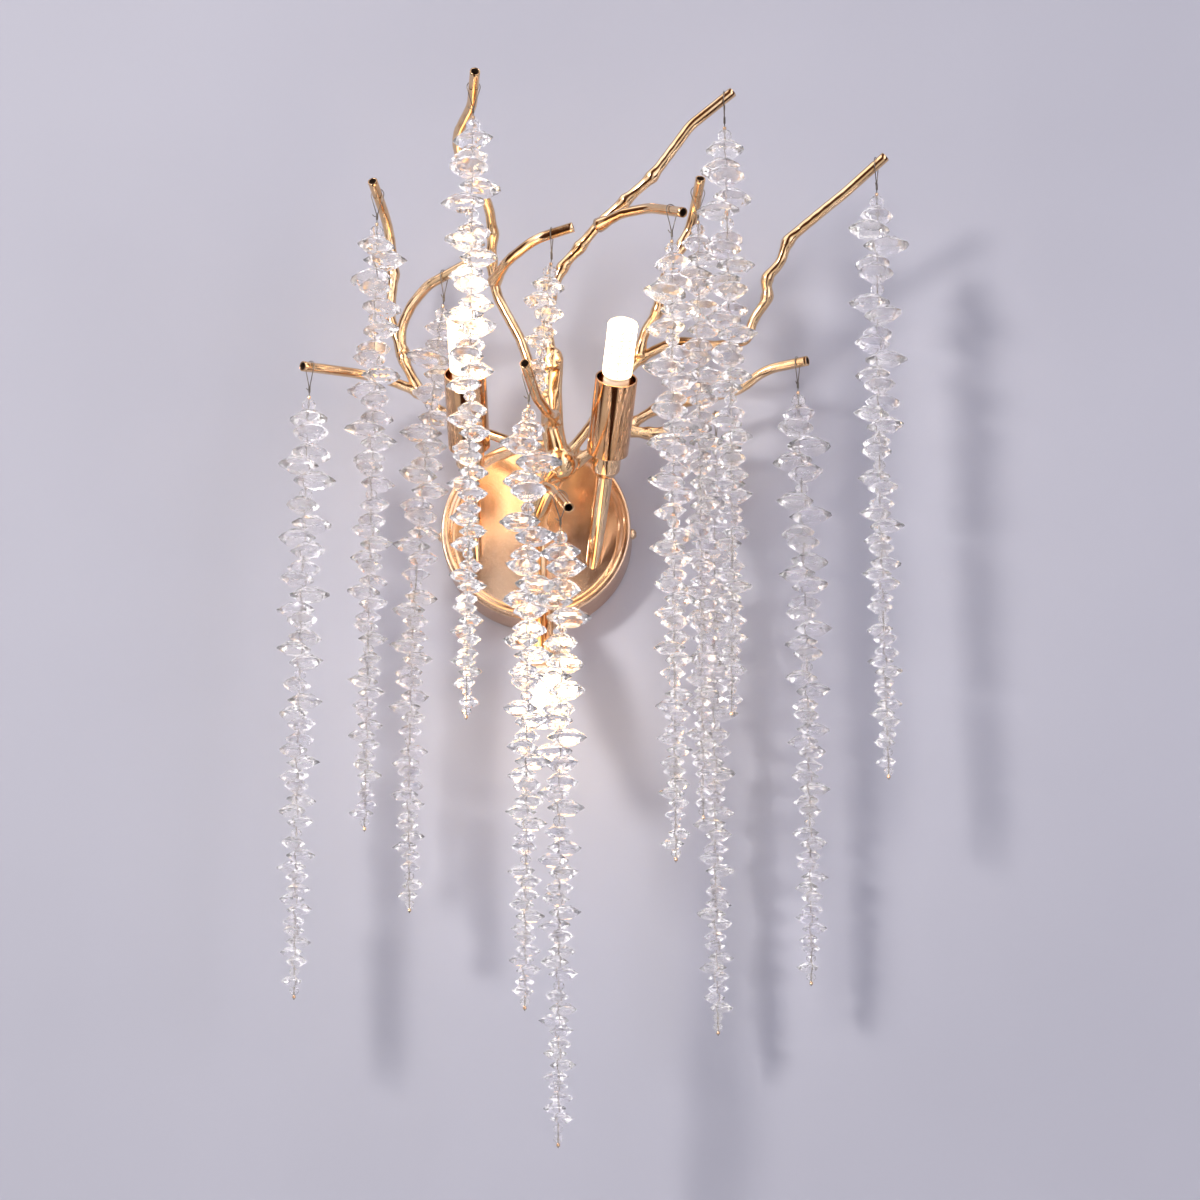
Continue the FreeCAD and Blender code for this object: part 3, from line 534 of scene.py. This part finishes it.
branchLook = {
    "tube": 3.2, "bore": 2.4, "boreDepth": 14, "knot": 4.2, "knotReach": 3.6, "wave": 0.16,
    "rootFlare": 1.6, "flareReach": 7, "widestBend": 30, "sides": 20, "step": 2.2,
}
rootLook = {
    "stem": 7.5, "stemFlare": 1.2, "knot": 10.6, "trunk": 7.4, "trunkEnd": 6.2, "trunkKnot": 6.0,
    "limb": 3.3, "limbFlare": 2.4, "limbReach": 20, "voxel": 0.8, "back": 23.02,
}
hubRoute = [(0, -23, 0), (1, -43, 3), (8, -57, 14), (18, -70, 27)]
trunkRoute = [(18, -70, 27), (13, -73, 50), (12, -77, 72), (14, -84, 93)]
branches = {
    "branch_top_right": {
        "route": [
            (14, -84, 84), (10, -86, 115), (12, -85, 132), (19, -86, 152), (31, -90, 164),
            (44, -98, 177), (60, -104, 189), (77, -110, 202), (101, -117, 233), (128, -119, 255)],
        "knots": [2, 3, 4, 6, 7]},
    "branch_top_right_fork": {
        "route": [(43, -98, 175), (58, -112, 177), (76, -126, 174), (97, -150, 160)], "knots": []},
    "branch_top_left": {
        "route": [
            (7, -79, 66), (-7, -76, 108), (-22, -75, 138), (-26, -79, 160), (-24, -87, 175),
            (-26, -98, 190), (-46, -136, 216), (-32, -163, 228), (-28, -192, 237)],
        "knots": [3, 4]},
    "branch_center_twig": {
        "route": [(-24, -76, 147), (-14, -98, 152), (4, -113, 160), (28, -117, 166)], "knots": []},
    "branch_far_left": {
        "route": [
            (10, -66, 30), (-18, -50, 51), (-41, -44, 62), (-58, -40, 72), (-74, -40, 88),
            (-95, -42, 96), (-114, -51, 97), (-143, -82, 90)],
        "knots": [2, 3, 4]},
    "branch_left_fork": {
        "route": [
            (-73, -40, 86), (-84, -42, 109), (-86, -46, 128), (-78, -56, 141), (-66, -69, 149),
            (-39, -85, 157)],
        "knots": [1]},
    "branch_left_upright": {
        "route": [
            (-84, -43, 112), (-93, -44, 138), (-91, -44, 167), (-93, -50, 191), (-96, -62, 202),
            (-101, -87, 213)],
        "knots": [2]},
    "branch_far_right": {
        "route": [
            (21, -67, 32), (36, -54, 58), (51, -44, 89), (67, -42, 108), (91, -44, 119),
            (114, -46, 113), (135, -48, 116), (139, -51, 129), (149, -56, 142), (147, -60, 153),
            (157, -63, 162), (161, -66, 176), (170, -69, 183), (197, -76, 203), (224, -84, 225)],
        "knots": [2, 3, 6, 8, 9, 11]},
    "branch_right_upright": {
        "route": [
            (66, -43, 107), (70, -47, 124), (79, -52, 135), (80, -57, 147), (85, -62, 158),
            (95, -64, 176), (100, -66, 187), (103, -72, 197), (107, -91, 209)],
        "knots": [2, 3, 5]},
    "branch_lower_right": {
        "route": [
            (25, -62, 30), (45, -50, 47), (62, -46, 62), (77, -40, 74), (105, -34, 82),
            (130, -31, 89), (146, -35, 101), (173, -47, 102)],
        "knots": [1, 2, 3]},
    "branch_right_twig": {
        "route": [(57, -48, 57), (72, -43, 56), (88, -40, 59), (104, -41, 63), (123, -47, 68)],
        "knots": [1]},
    "branch_front_stub": {
        "route": [(13, -74, 52), (15, -92, 51), (13, -112, 45), (7, -134, 47), (2, -168, 56)],
        "knots": [1]},
    "branch_front_arch": {
        "route": [(15, -68, 22), (8, -85, 8), (11, -101, 1), (17, -111, -5), (27, -140, -26)],
        "knots": [1]},
}
# these fork from another branch, clear of the root
forks = {
    "branch_top_right_fork", "branch_center_twig", "branch_left_fork", "branch_left_upright",
    "branch_right_upright", "branch_right_twig",
}


def branchRadii(path, knots, points):
    # the tube's own radius, and what its knots and its root add
    look = branchLook
    radii = np.full(len(path), look["tube"], dtype=float)
    for knot in knots:
        # each knot swells the tube as a bell curve about 4 mm wide
        gap = np.linalg.norm(path - np.array(points[knot], dtype=float), axis=1)
        radii += (look["knot"] - look["tube"]) * 1.15 * np.exp(-(gap / look["knotReach"]) ** 2)
    # the root spreads over its first centimetre
    walked = np.concatenate([[0], np.cumsum(np.linalg.norm(np.diff(path, axis=0), axis=1))])
    radii += look["rootFlare"] * np.exp(-(walked / look["flareReach"]) ** 2)
    return radii, walked


def makeBranch(name, details):
    # a knotted tube carried along its bent route, with an open end and a bore painted dark as shade
    look = branchLook
    path = bentRoute(details["route"], look["widestBend"], look["step"])
    radii, walked = branchRadii(path, details["knots"], details["route"])
    kinked = walked[-1] - np.linalg.norm(np.subtract(details["route"][-1], details["route"][-2]))
    seed = sum(map(ord, name)) % 7

    def swell(distance, angle):
        # worked metal: low waves round and along the kinked part, fading out on the last run
        fade = np.clip((kinked - distance) / 15, 0, 1)
        wave = np.sin(2 * angle + 0.31 * distance + seed) * np.sin(0.43 * distance + angle + 2 * seed)
        return look["wave"] * fade * wave

    outer, faces, _ = sweep(path, radii, look["sides"], swell)
    rows = len(path)
    tangent, first, second = pathFrames(path)
    angle = 2 * math.pi * np.arange(look["sides"]) / look["sides"]
    ring = np.cos(angle)[:, None] * first[-1] + np.sin(angle)[:, None] * second[-1]
    tip, heading = path[-1], tangent[-1]
    # the open end: a softened rim, then the bore back to a floor
    inner = [tip + ring * r + heading * s for s, r in (
        (0.12, look["tube"] - 0.25), (0.12, look["bore"] + 0.2), (0, look["bore"]),
        (-look["boreDepth"], look["bore"]))]
    points = np.concatenate([outer] + inner)
    faces = gridFaces(rows + len(inner), look["sides"])
    boreStart = len(faces) - look["sides"]
    faces = closeEnds(faces, rows + len(inner), look["sides"])
    piece = makePiece(name.title().replace("_", ""), points, faces, wornGold)
    piece.data.materials.append(boreShadeMetal)
    # the bore's wall and its floor take the painted shade, but not the closed root, the last but one face
    for index in [*range(boreStart, len(faces) - 2), len(faces) - 1]:
        piece.data.polygons[index].material_index = 1
    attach(piece, "fixture")
    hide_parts(name)


def ball(centre, radius, rows=16, steps=24):
    # a half circle turned round an upright axis
    profile = [(radius * -math.cos(math.pi * t), max(radius * math.sin(math.pi * t), 0.02))
               for t in np.linspace(0, 1, rows)]
    points, faces, _ = lathe(profile, np.array(centre, dtype=float), vector(0, 0, 1), steps)
    return points, closeEnds(faces, rows, steps)


def makeRoot():
    # stem, knot, trunk and the first stretch of each limb, melted together by a voxel remesh
    look = rootLook
    parts = []
    stem = bentRoute(hubRoute, 20, 2)
    # each radius falls towards its tube's own as a bell curve along the route
    radii = look["stem"] + look["stemFlare"] * np.exp(-((np.arange(len(stem)) * 2.0) / 5) ** 2)
    points, faces, _ = sweep(stem, radii, 24)
    parts.append((points, closeEnds(faces, len(stem), 24)))
    parts.append(ball(hubRoute[-1], look["knot"]))
    trunk = bentRoute(trunkRoute, 30, 2)
    steps = np.arange(len(trunk)) / (len(trunk) - 1)
    radii = look["trunk"] - (look["trunk"] - look["trunkEnd"]) * steps
    # three low ridges wind round the trunk
    points, faces, _ = sweep(trunk, radii, 24, lambda s, a: 0.7 * np.sin(3 * a + 0.06 * s))
    parts.append((points, closeEnds(faces, len(trunk), 24)))
    parts.append(ball(trunkRoute[-1], look["trunkKnot"]))
    for name, details in branches.items():
        if name in forks:
            continue
        path = bentRoute(details["route"], branchLook["widestBend"], 2)
        walked = np.concatenate([[0], np.cumsum(np.linalg.norm(np.diff(path, axis=0), axis=1))])
        near = walked < look["limbReach"]
        radii = look["limb"] + look["limbFlare"] * np.exp(-(walked[near] / 9) ** 2)
        points, faces, _ = sweep(path[near], radii, 16)
        parts.append((points, closeEnds(faces, int(near.sum()), 16)))
    points, faces = joined(parts)
    rough = makePiece("rootRough", points, faces, wornGold)
    remesh = rough.modifiers.new("melt", "REMESH")
    remesh.mode = "VOXEL"
    remesh.voxel_size = look["voxel"] * 0.001
    soften = rough.modifiers.new("soften", "SMOOTH")
    soften.factor = 0.5
    soften.iterations = 8
    evaluated = rough.evaluated_get(bpy.context.evaluated_depsgraph_get())
    mesh = bpy.data.meshes.new_from_object(evaluated)
    bpy.data.objects.remove(rough)
    place = np.empty(len(mesh.vertices) * 3)
    mesh.vertices.foreach_get("co", place)
    place = place.reshape(-1, 3)
    # the casting keeps behind its face on the canopy
    place[:, 1] = np.minimum(place[:, 1], -look["back"] * 0.001)
    mesh.vertices.foreach_set("co", place.ravel())
    mesh.polygons.foreach_set("use_smooth", [True] * len(mesh.polygons))
    mesh.materials.clear()
    mesh.materials.append(wornGold)
    root = bpy.data.objects.new("rootCasting", mesh)
    scene.collection.objects.link(root)
    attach(root, "fixture")
    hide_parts("hub_casting", "trunk")


makeRoot()
for branchName, branchDetails in branches.items():
    makeBranch(branchName, branchDetails)
print("root and branches made")


# lamps

lampLook = {
    "arm": 5, "armBore": 4, "collarFoot": 6.5, "collar": 9, "collarLength": 16, "collarTaper": 4,
    "collarRings": (3.2, 2.8),
    "cup": 13, "cupWall": 1, "cupLength": 51, "nipple": 12, "holderLength": 22,
    "base": 8, "baseLength": 20, "pin": 0.6, "pinGap": 9, "pinLength": 9,
    "capsule": 9.2, "capsuleLength": 35, "shoulder": 3, "chipRow": 5, "chipDip": 0.28,
    "haloPower": {"left": 0.24, "right": 0.06, "lower": 0.27}, "haloColour": "#FFD39C", "haloRadius": 45,
}


def lampAxis(azimuth, elevation):
    level = math.cos(math.radians(elevation))
    return vector(level * math.sin(math.radians(azimuth)), -level * math.cos(math.radians(azimuth)),
                  math.sin(math.radians(elevation)))


lamps = {
    "left": {"foot": vector(-38, -23, -14), "axis": lampAxis(0, 41), "arm": 60},
    "right": {"foot": vector(37, -23, -20), "axis": lampAxis(11, 43), "arm": 60},
    "lower": {"foot": vector(3, -23, -20), "axis": lampAxis(5, -62), "arm": 35},
}


def makeArm(side, lamp):
    # a tube whose foot is cut to lie on the canopy's face
    look = lampLook
    axis, foot = lamp["axis"], lamp["foot"]
    first, second = cornersOf(axis)
    steps = 48
    angle = 2 * math.pi * np.arange(steps) / steps
    ring = np.cos(angle)[:, None] * first + np.sin(angle)[:, None] * second
    points = []
    end = lamp["arm"] + look["collarLength"] + look["nipple"]
    for radius, places in ((look["arm"], (0, 20, end)), (look["armBore"], (end, 20, 0))):
        for place in places:
            rows = foot + ring * radius + axis * place
            if place == 0:
                # each point slides along the axis to the face at y = -23
                slide = (foot[1] - (foot + ring * radius)[:, 1]) / axis[1]
                rows = foot + ring * radius + axis * slide[:, None]
            points.append(rows)
    faces = gridFaces(6, steps)
    piece = makePiece(f"lampArm{side.title()}", np.concatenate(points), faces, gold)
    splitSharpEdges(piece)
    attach(piece, "fixture")
    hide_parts("lamp_arms")


def splitSharpEdges(piece, degrees=40):
    piece.data.set_sharp_from_angle(angle=math.radians(degrees))


def makeTurned(name, profile, lamp, node, material, body="fixture", steps=96):
    # a profile of distance and radius, turned round the lamp's axis
    points, faces, uv = lathe(profile, lamp["foot"], lamp["axis"], steps)
    piece = makePiece(name, points, faces, material, uv=uv)
    splitSharpEdges(piece)
    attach(piece, body)
    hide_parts(node)
    return piece


def makeLamp(side, lamp):
    # along one axis: arm, collar, cup, and the lamp with its base, its two pins and its capsule
    look = lampLook
    label = side.title()
    makeArm(side, lamp)
    start = lamp["arm"]
    end = start + look["collarLength"]
    hole = look["arm"] + 0.05
    # two rings on the collar's straight side, near the cup, steer its smooth shading
    collar = roundedProfile([
        (start, hole), (start, look["collarFoot"]), (start + look["collarTaper"], look["collar"]),
        *((end - back, look["collar"]) for back in look["collarRings"]),
        (end, look["collar"]), (end, hole)], 0.7, 4)
    makeTurned(f"collar{label}", collar + [collar[0]], lamp, "arm_collars", gold)

    mouth = end + look["cupLength"]
    wallInner = look["cup"] - look["cupWall"]
    cup = roundedProfile([
        (end, hole), (end, look["cup"]), (mouth, look["cup"]), (mouth, wallInner),
        (end + look["cupWall"], wallInner), (end + look["cupWall"], hole), (end, hole)], 0.45, 5)
    # the cup takes the polished gold darkened as painted shade
    makeTurned(f"cup{label}", cup, lamp, f"lamp_cup_{side}", shadedCupGold)

    plug = end + look["nipple"] + look["holderLength"]
    capStart = plug + look["baseLength"]
    base = roundedProfile([
        (plug, 0.01), (plug, look["base"]), (capStart - 4, look["base"]),
        (capStart - 2.6, look["base"] - 0.5), (capStart - 1.2, look["base"]),
        (capStart, look["base"]), (capStart, 0.01)], 0.6, 4)
    body = f"bulb_{side}"
    makeTurned(f"bulbBase{label}", base, lamp, f"bulb_{side}_base", ceramic, body, 64)
    # the two pins that plug into the holder
    across = unit(np.cross(np.cross(lamp["axis"], vector(1, 0, 0)), lamp["axis"]))
    parts = []
    tip = plug - look["pinLength"]
    for sign in (-1, 1):
        centre = lamp["foot"] + across * sign * look["pinGap"] / 2
        profile = [(tip, 0.05), (tip + 0.1, 0.4), (tip + 0.5, look["pin"] - 0.02), (plug + 0.2, look["pin"])]
        points, faces, _ = lathe(profile, centre, lamp["axis"], 12)
        parts.append((points, faces))
    points, faces = joined(parts)
    pins = makePiece(f"bulbPins{label}", points, faces, steel)
    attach(pins, body)
    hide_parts(f"bulb_{side}_base")

    makeCapsule(label, lamp, capStart, f"bulb_{side}_capsule", body)
    middle = lamp["foot"] + lamp["axis"] * (capStart + look["capsuleLength"] / 2)
    makeHalo(label, middle, look["haloPower"][side])


def makeCapsule(label, lamp, start, node, body):
    # a cylinder with a shallow cosine ring for each row of chips, and a quarter-circle shoulder
    look = lampLook
    radius, shoulder = look["capsule"], look["shoulder"]
    top = start + look["capsuleLength"]
    along = np.linspace(start + 0.3, top - shoulder, 60)
    dip = look["chipDip"] * (0.5 - 0.5 * np.cos(2 * math.pi * (along - start) / look["chipRow"]))
    turn = np.linspace(0.1, 1, 8) * math.pi / 2
    profile = [(start, 0.01), (start, radius - 0.4)]
    profile += zip(along, radius - dip)
    profile += zip(top + shoulder * (np.sin(turn) - 1), radius + shoulder * (np.cos(turn) - 1))
    profile.append((top, 0.01))
    makeTurned(f"bulbCapsule{label}", profile, lamp, node, glow, body)


def makeHalo(label, middle, power):
    # the crystals round a capsule scatter its light, which this warm ball shows through them
    data = bpy.data.lights.new(f"halo{label}", "POINT")
    data.energy = power
    data.color = linear(lampLook["haloColour"])[:3]
    data.shadow_soft_size = lampLook["haloRadius"] * 0.001
    halo = bpy.data.objects.new(f"halo{label}", data)
    halo.location = middle * 0.001
    halo.visible_camera = False
    halo.visible_diffuse = False
    scene.collection.objects.link(halo)


for sideName, lampDetails in lamps.items():
    makeLamp(sideName, lampDetails)
print("lamps made")


# crystal strings

stringLook = {
    "length": 400, "shortLength": 112, "wire": 0.3, "loopGap": 0.4, "loopDrop": 14,
    "twistLength": 3, "strand": 0.34, "strandReach": 0.42, "twistTurns": 3,
    "crimp": 1.1, "crimpLength": 1.8, "crimpGap": 2.5, "bead": 4.6, "endBead": 3, "gap": 0.3,
    "topLength": 33, "endLength": 16, "topHeight": 10.2, "endHeight": 5.5,
    "topDrill": 0.2, "endDrill": 0.14, "widthShare": 0.8, "spin": 137.5,
    "spread": 0.16, "firstShare": 0.8, "beadEvery": 13, "firstBead": 5, "beadTaper": 0.35,
    "tilt": 2.0, "facetReach": 0.09, "facetLift": 0.06,
}
# each ring of a crystal's corners: its share of the outline and its height, from table to table
crystalRings = [(0.48, -1), (0.63, -0.72), (0.82, -0.34), (1, 0), (0.82, 0.34), (0.63, 0.72), (0.48, 1)]
strings = [
    {"branch": "branch_far_left", "back": 6, "extra": 5, "lean": -0.002, "bow": 2, "turn": 20},
    {"branch": "branch_left_upright", "back": 12, "extra": 18, "turn": 80},
    {"branch": "branch_left_fork", "back": 20, "extra": 8, "lean": -0.045, "bow": -10, "turn": 150},
    {"branch": "branch_top_left", "back": 14, "extra": 2, "turn": 200},
    {"branch": "branch_center_twig", "back": 14, "lean": -0.1, "turn": 250,
     "length": "shortLength", "scale": 0.85},
    {"branch": "branch_front_stub", "back": 12, "extra": -9, "turn": 310},
    {"branch": "branch_front_arch", "back": 22, "extra": -6, "turn": 35},
    {"branch": "branch_right_upright", "back": 11, "extra": 8, "turn": 95, "scale": 0.95},
    {"branch": "branch_top_right_fork", "back": 12, "extra": 13, "turn": 170},
    {"branch": "branch_top_right", "back": 7, "extra": 5, "bow": 2, "turn": 215},
    {"branch": "branch_far_right", "back": 8, "extra": 3, "lean": -0.004, "bow": -2, "turn": 290},
    {"branch": "branch_lower_right", "back": 7, "lean": 0.004, "bow": 2, "turn": 330},
    {"branch": "branch_right_twig", "back": 9, "extra": -3, "lean": -0.006, "bow": -2, "turn": 60},
]
random = np.random.default_rng(7)


class StringLine:
    # where a string runs: down from its branch, with a slight lean and a sine bow along its swing
    def __init__(self, details):
        look = stringLook
        route = [np.array(p, dtype=float) for p in branches[details["branch"]]["route"]]
        run = route[-1] - route[-2]
        self.hang = route[-1] - unit(run) * details["back"]
        self.slope = math.atan2(run[2], math.hypot(run[0], run[1]))
        self.axis = unit(vector(run[0], run[1], 0))
        self.side = np.cross(self.axis, upward)
        self.lean = details.get("lean", 0)
        self.bow = details.get("bow", 0)
        self.length = look[details.get("length", "length")] + details.get("extra", 0)

    def at(self, drop):
        below = max(0, drop - stringLook["loopDrop"] - stringLook["twistLength"] + 1)
        shift = self.lean * below + self.bow * math.sin(math.pi * below / self.length)
        return self.hang + self.axis * shift - upward * drop

    def heading(self, drop):
        return unit(self.at(drop - 1) - self.at(drop + 1))


def beadStack(line, scale):
    # what is threaded on a string, from the top: kind, size, height, drop and offset
    look = stringLook
    beadShare = 2 * math.sin(math.radians(60))
    stack = []
    drop = look["loopDrop"] + look["twistLength"] + look["crimpGap"] + look["crimpLength"]
    drop += look["bead"] * beadShare / 2 + look["gap"]
    stack.append(("bead", look["bead"], 0, drop, 0))
    drop += look["bead"] * beadShare / 2 + look["gap"]
    firstCrystal = drop
    endHeight = look["endBead"] * beadShare
    lastCrystal = line.length - endHeight - look["crimpLength"] - 1
    count = 0
    while drop < lastCrystal - look["endHeight"]:
        share = (drop - firstCrystal) / (lastCrystal - firstCrystal)
        length = look["topLength"] * (1 - share) + look["endLength"] * share
        height = look["topHeight"] * (1 - share) + look["endHeight"] * share
        # lengths vary in the golden ratio's steps, which never repeat
        variation = 1 - look["spread"] * ((count * 0.618) % 1)
        if count % look["beadEvery"] == look["firstBead"]:
            radius = look["bead"] * (1 - look["beadTaper"] * share)
            height = radius * beadShare
            stack.append(("bead", radius, 0, drop + height / 2, 0))
        else:
            length *= scale * variation * (look["firstShare"] if count == 0 else 1)
            # the first hangs from its middle, and the others are drilled nearer one end
            offCentre = look["topDrill"] * (1 - share) + look["endDrill"] * share
            shift = length * offCentre if count else 0
            stack.append(("crystal", length, height, drop + height / 2, shift))
        drop += height + look["gap"]
        count += 1
    drop += endHeight / 2
    stack.append(("bead", look["endBead"], 0, drop, 0))
    return stack, drop + endHeight / 2


def crystalShape(length, height, shift):
    # an oval lens: rings of corners between its two tables, each turned half a step from the last
    sides = 12
    angle = 2 * math.pi * np.arange(sides) / sides
    half = math.pi / sides
    rings = []
    look = stringLook
    for index, (share, z) in enumerate(crystalRings):
        turned = half * (index % 2)
        reach = share * (1 - random.uniform(0, look["facetReach"], sides))
        x = shift + reach * length / 2 * np.cos(angle + turned)
        y = reach * length / 2 * look["widthShare"] * np.sin(angle + turned)
        lift = random.uniform(-look["facetLift"], look["facetLift"], sides) if abs(z) < 1 else 0
        rings.append(np.column_stack([x, y, (z + lift) * height / 2 * np.ones(sides)]))
    # the whole piece sits a few degrees out of square on its wire
    lean, sway = np.radians(random.uniform(-look["tilt"], look["tilt"], 2))
    points = np.concatenate(rings)
    points[:, 2] += points[:, 0] * math.sin(lean) + points[:, 1] * math.sin(sway)
    return points, facetFaces(len(rings), sides)


def facetFaces(rows, sides):
    # triangles between rings that are each half a step on from the last, and two end faces
    row, column = np.arange(rows - 1)[:, None], np.arange(sides)[None, :]
    a, b = row * sides + column, row * sides + (column + 1) % sides
    c, d = a + sides, b + sides
    even = row % 2 == 0
    lower = np.stack([a, b, np.where(even, c, d)], axis=-1)
    upper = np.stack([np.where(even, c, a), np.where(even, b, d), np.where(even, d, c)], axis=-1)
    triangles = np.stack([lower, upper], axis=2).reshape(-1, 3).tolist()
    return [list(range(sides))[::-1], list(range((rows - 1) * sides, rows * sides))] + triangles


def beadShape(radius):
    # a round bead cut with five rows of flat facets between two small flat ends
    sides = 10
    rings = []
    for index, latitude in enumerate((-72, -45, -15, 15, 45, 72)):
        out = radius * math.cos(math.radians(latitude))
        angle = 2 * math.pi * (np.arange(sides) + 0.5 * (index % 2)) / sides
        z = np.full(sides, radius * 0.9 * math.sin(math.radians(latitude)))
        rings.append(np.column_stack([out * np.cos(angle), out * np.sin(angle), z]))
    return np.concatenate(rings), facetFaces(len(rings), sides)


def crimpShape(line, drop):
    # a short pressed tube with a slight waist
    look = stringLook
    base = line.at(drop + look["crimpLength"])
    outer, inner, length = look["crimp"], look["wire"] + 0.05, look["crimpLength"]
    profile = roundedProfile([
        (0, inner), (0, outer), (length / 2, outer * 0.93), (length, outer), (length, inner)], 0.3, 3)
    points, faces, _ = lathe(profile + [(0, inner)], base, line.heading(drop), 20)
    return points, faces


def loopPath(line):
    # an arc round the tube, and legs that leave it where they are its tangents, down to the twist
    look = stringLook
    radius = branchLook["tube"] / math.cos(line.slope) + look["loopGap"] + look["wire"]
    reach = math.acos(radius / look["loopDrop"])
    angle = np.linspace(reach - math.pi / 2, math.pi * 1.5 - reach, 40)[:, None]
    arc = line.hang + radius * (np.cos(angle) * line.side + np.sin(angle) * upward)
    legFoot = line.hang - upward * (look["loopDrop"] - 0.5)
    apart = line.side * look["wire"]
    return np.concatenate([[legFoot + apart], arc, [legFoot - apart]])


def wirePart(path, radius):
    # a round wire along a path, with closed ends
    points, faces, _ = sweep(path, np.full(len(path), radius), 8)
    return points, closeEnds(faces, len(path), 8)


def makeCrystals(line, stack, turn):
    # each bead and crystal is spun round the string and laid along its line
    parts = []
    for index, (kind, length, height, drop, shift) in enumerate(stack):
        points, faces = beadShape(length) if kind == "bead" else crystalShape(length, height, shift)
        spin = math.radians(turn + index * stringLook["spin"])
        turned = points @ np.array([
            [math.cos(spin), math.sin(spin), 0], [-math.sin(spin), math.cos(spin), 0], [0, 0, 1]])
        heading = line.heading(drop)
        first = unit(vector(1, 0, 0) - heading * heading[0])
        second = np.cross(heading, first)
        parts.append((turned @ np.array([first, second, heading]) + line.at(drop), faces))
    return joined(parts)


def makeWire(line, end):
    # the loop, two strands wound round each other, the cut tail and the wire through the crystals
    look = stringLook
    parts = [wirePart(loopPath(line), look["wire"])]
    twistStart, twistEnd = look["loopDrop"] - 1.2, look["loopDrop"] + look["twistLength"]
    t = np.linspace(0, 1, 40)[:, None]
    for phase in (0, math.pi):
        # a helix about the wire's own line
        angle = phase + t * 2 * math.pi * look["twistTurns"]
        centre = line.hang - upward * (twistStart + (twistEnd - twistStart) * t)
        strand = centre + look["strandReach"] * (np.cos(angle) * line.side + np.sin(angle) * line.axis)
        parts.append(wirePart(strand, look["strand"]))
    tailFoot = line.at(look["loopDrop"] + 1)
    tail = np.array([[0, 0], [1.8, 0.4], [3.0, 1.7]])  # millimetres sideways and up
    parts.append(wirePart(tailFoot + tail[:, :1] * line.side + tail[:, 1:] * upward, look["wire"]))
    drops = np.linspace(twistEnd - 0.6, end + look["crimpLength"] + 1, 24)
    parts.append(wirePart(np.array([line.at(drop) for drop in drops]), look["wire"]))
    return joined(parts)


def makeString(number, details):
    # one string in three pieces: crystals with beads, wire with loop, and two crimps
    look = stringLook
    line = StringLine(details)
    body = f"string_{number:02d}"
    stack, end = beadStack(line, details.get("scale", 1))
    points, faces = makeCrystals(line, stack, details["turn"])
    crystals = makePiece(f"stringCrystals{number:02d}", points, faces, glass, smooth=False)
    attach(crystals, body)
    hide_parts(f"string_{number:02d}_crystals")

    points, faces = makeWire(line, end)
    wire = makePiece(f"stringWire{number:02d}", points, faces, steel)
    crimpTop = look["loopDrop"] + look["twistLength"] + look["crimpGap"]
    points, faces = joined([crimpShape(line, crimpTop), crimpShape(line, end + 0.2)])
    crimps = makePiece(f"stringCrimps{number:02d}", points, faces, gold)
    for piece in (wire, crimps):
        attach(piece, body)
        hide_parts(f"string_{number:02d}_wire")


for stringNumber, stringDetails in enumerate(strings, start=1):
    makeString(stringNumber, stringDetails)
print("crystal strings made")


# pieces behind the canopy keep their CAD shape and take a real finish

finishes = {
    "wall_bracket": zinc, "earth_screw": zinc, "hub_bolt": zinc, "terminal_block": nylon,
    "lamp_leads": silicone, "lamp_holders": ceramic,
}
for nodeName, finish in finishes.items():
    for slot in bpy.data.objects[nodeName].material_slots:
        slot.material = finish
print("hidden pieces finished")

bpy.context.view_layer.update()
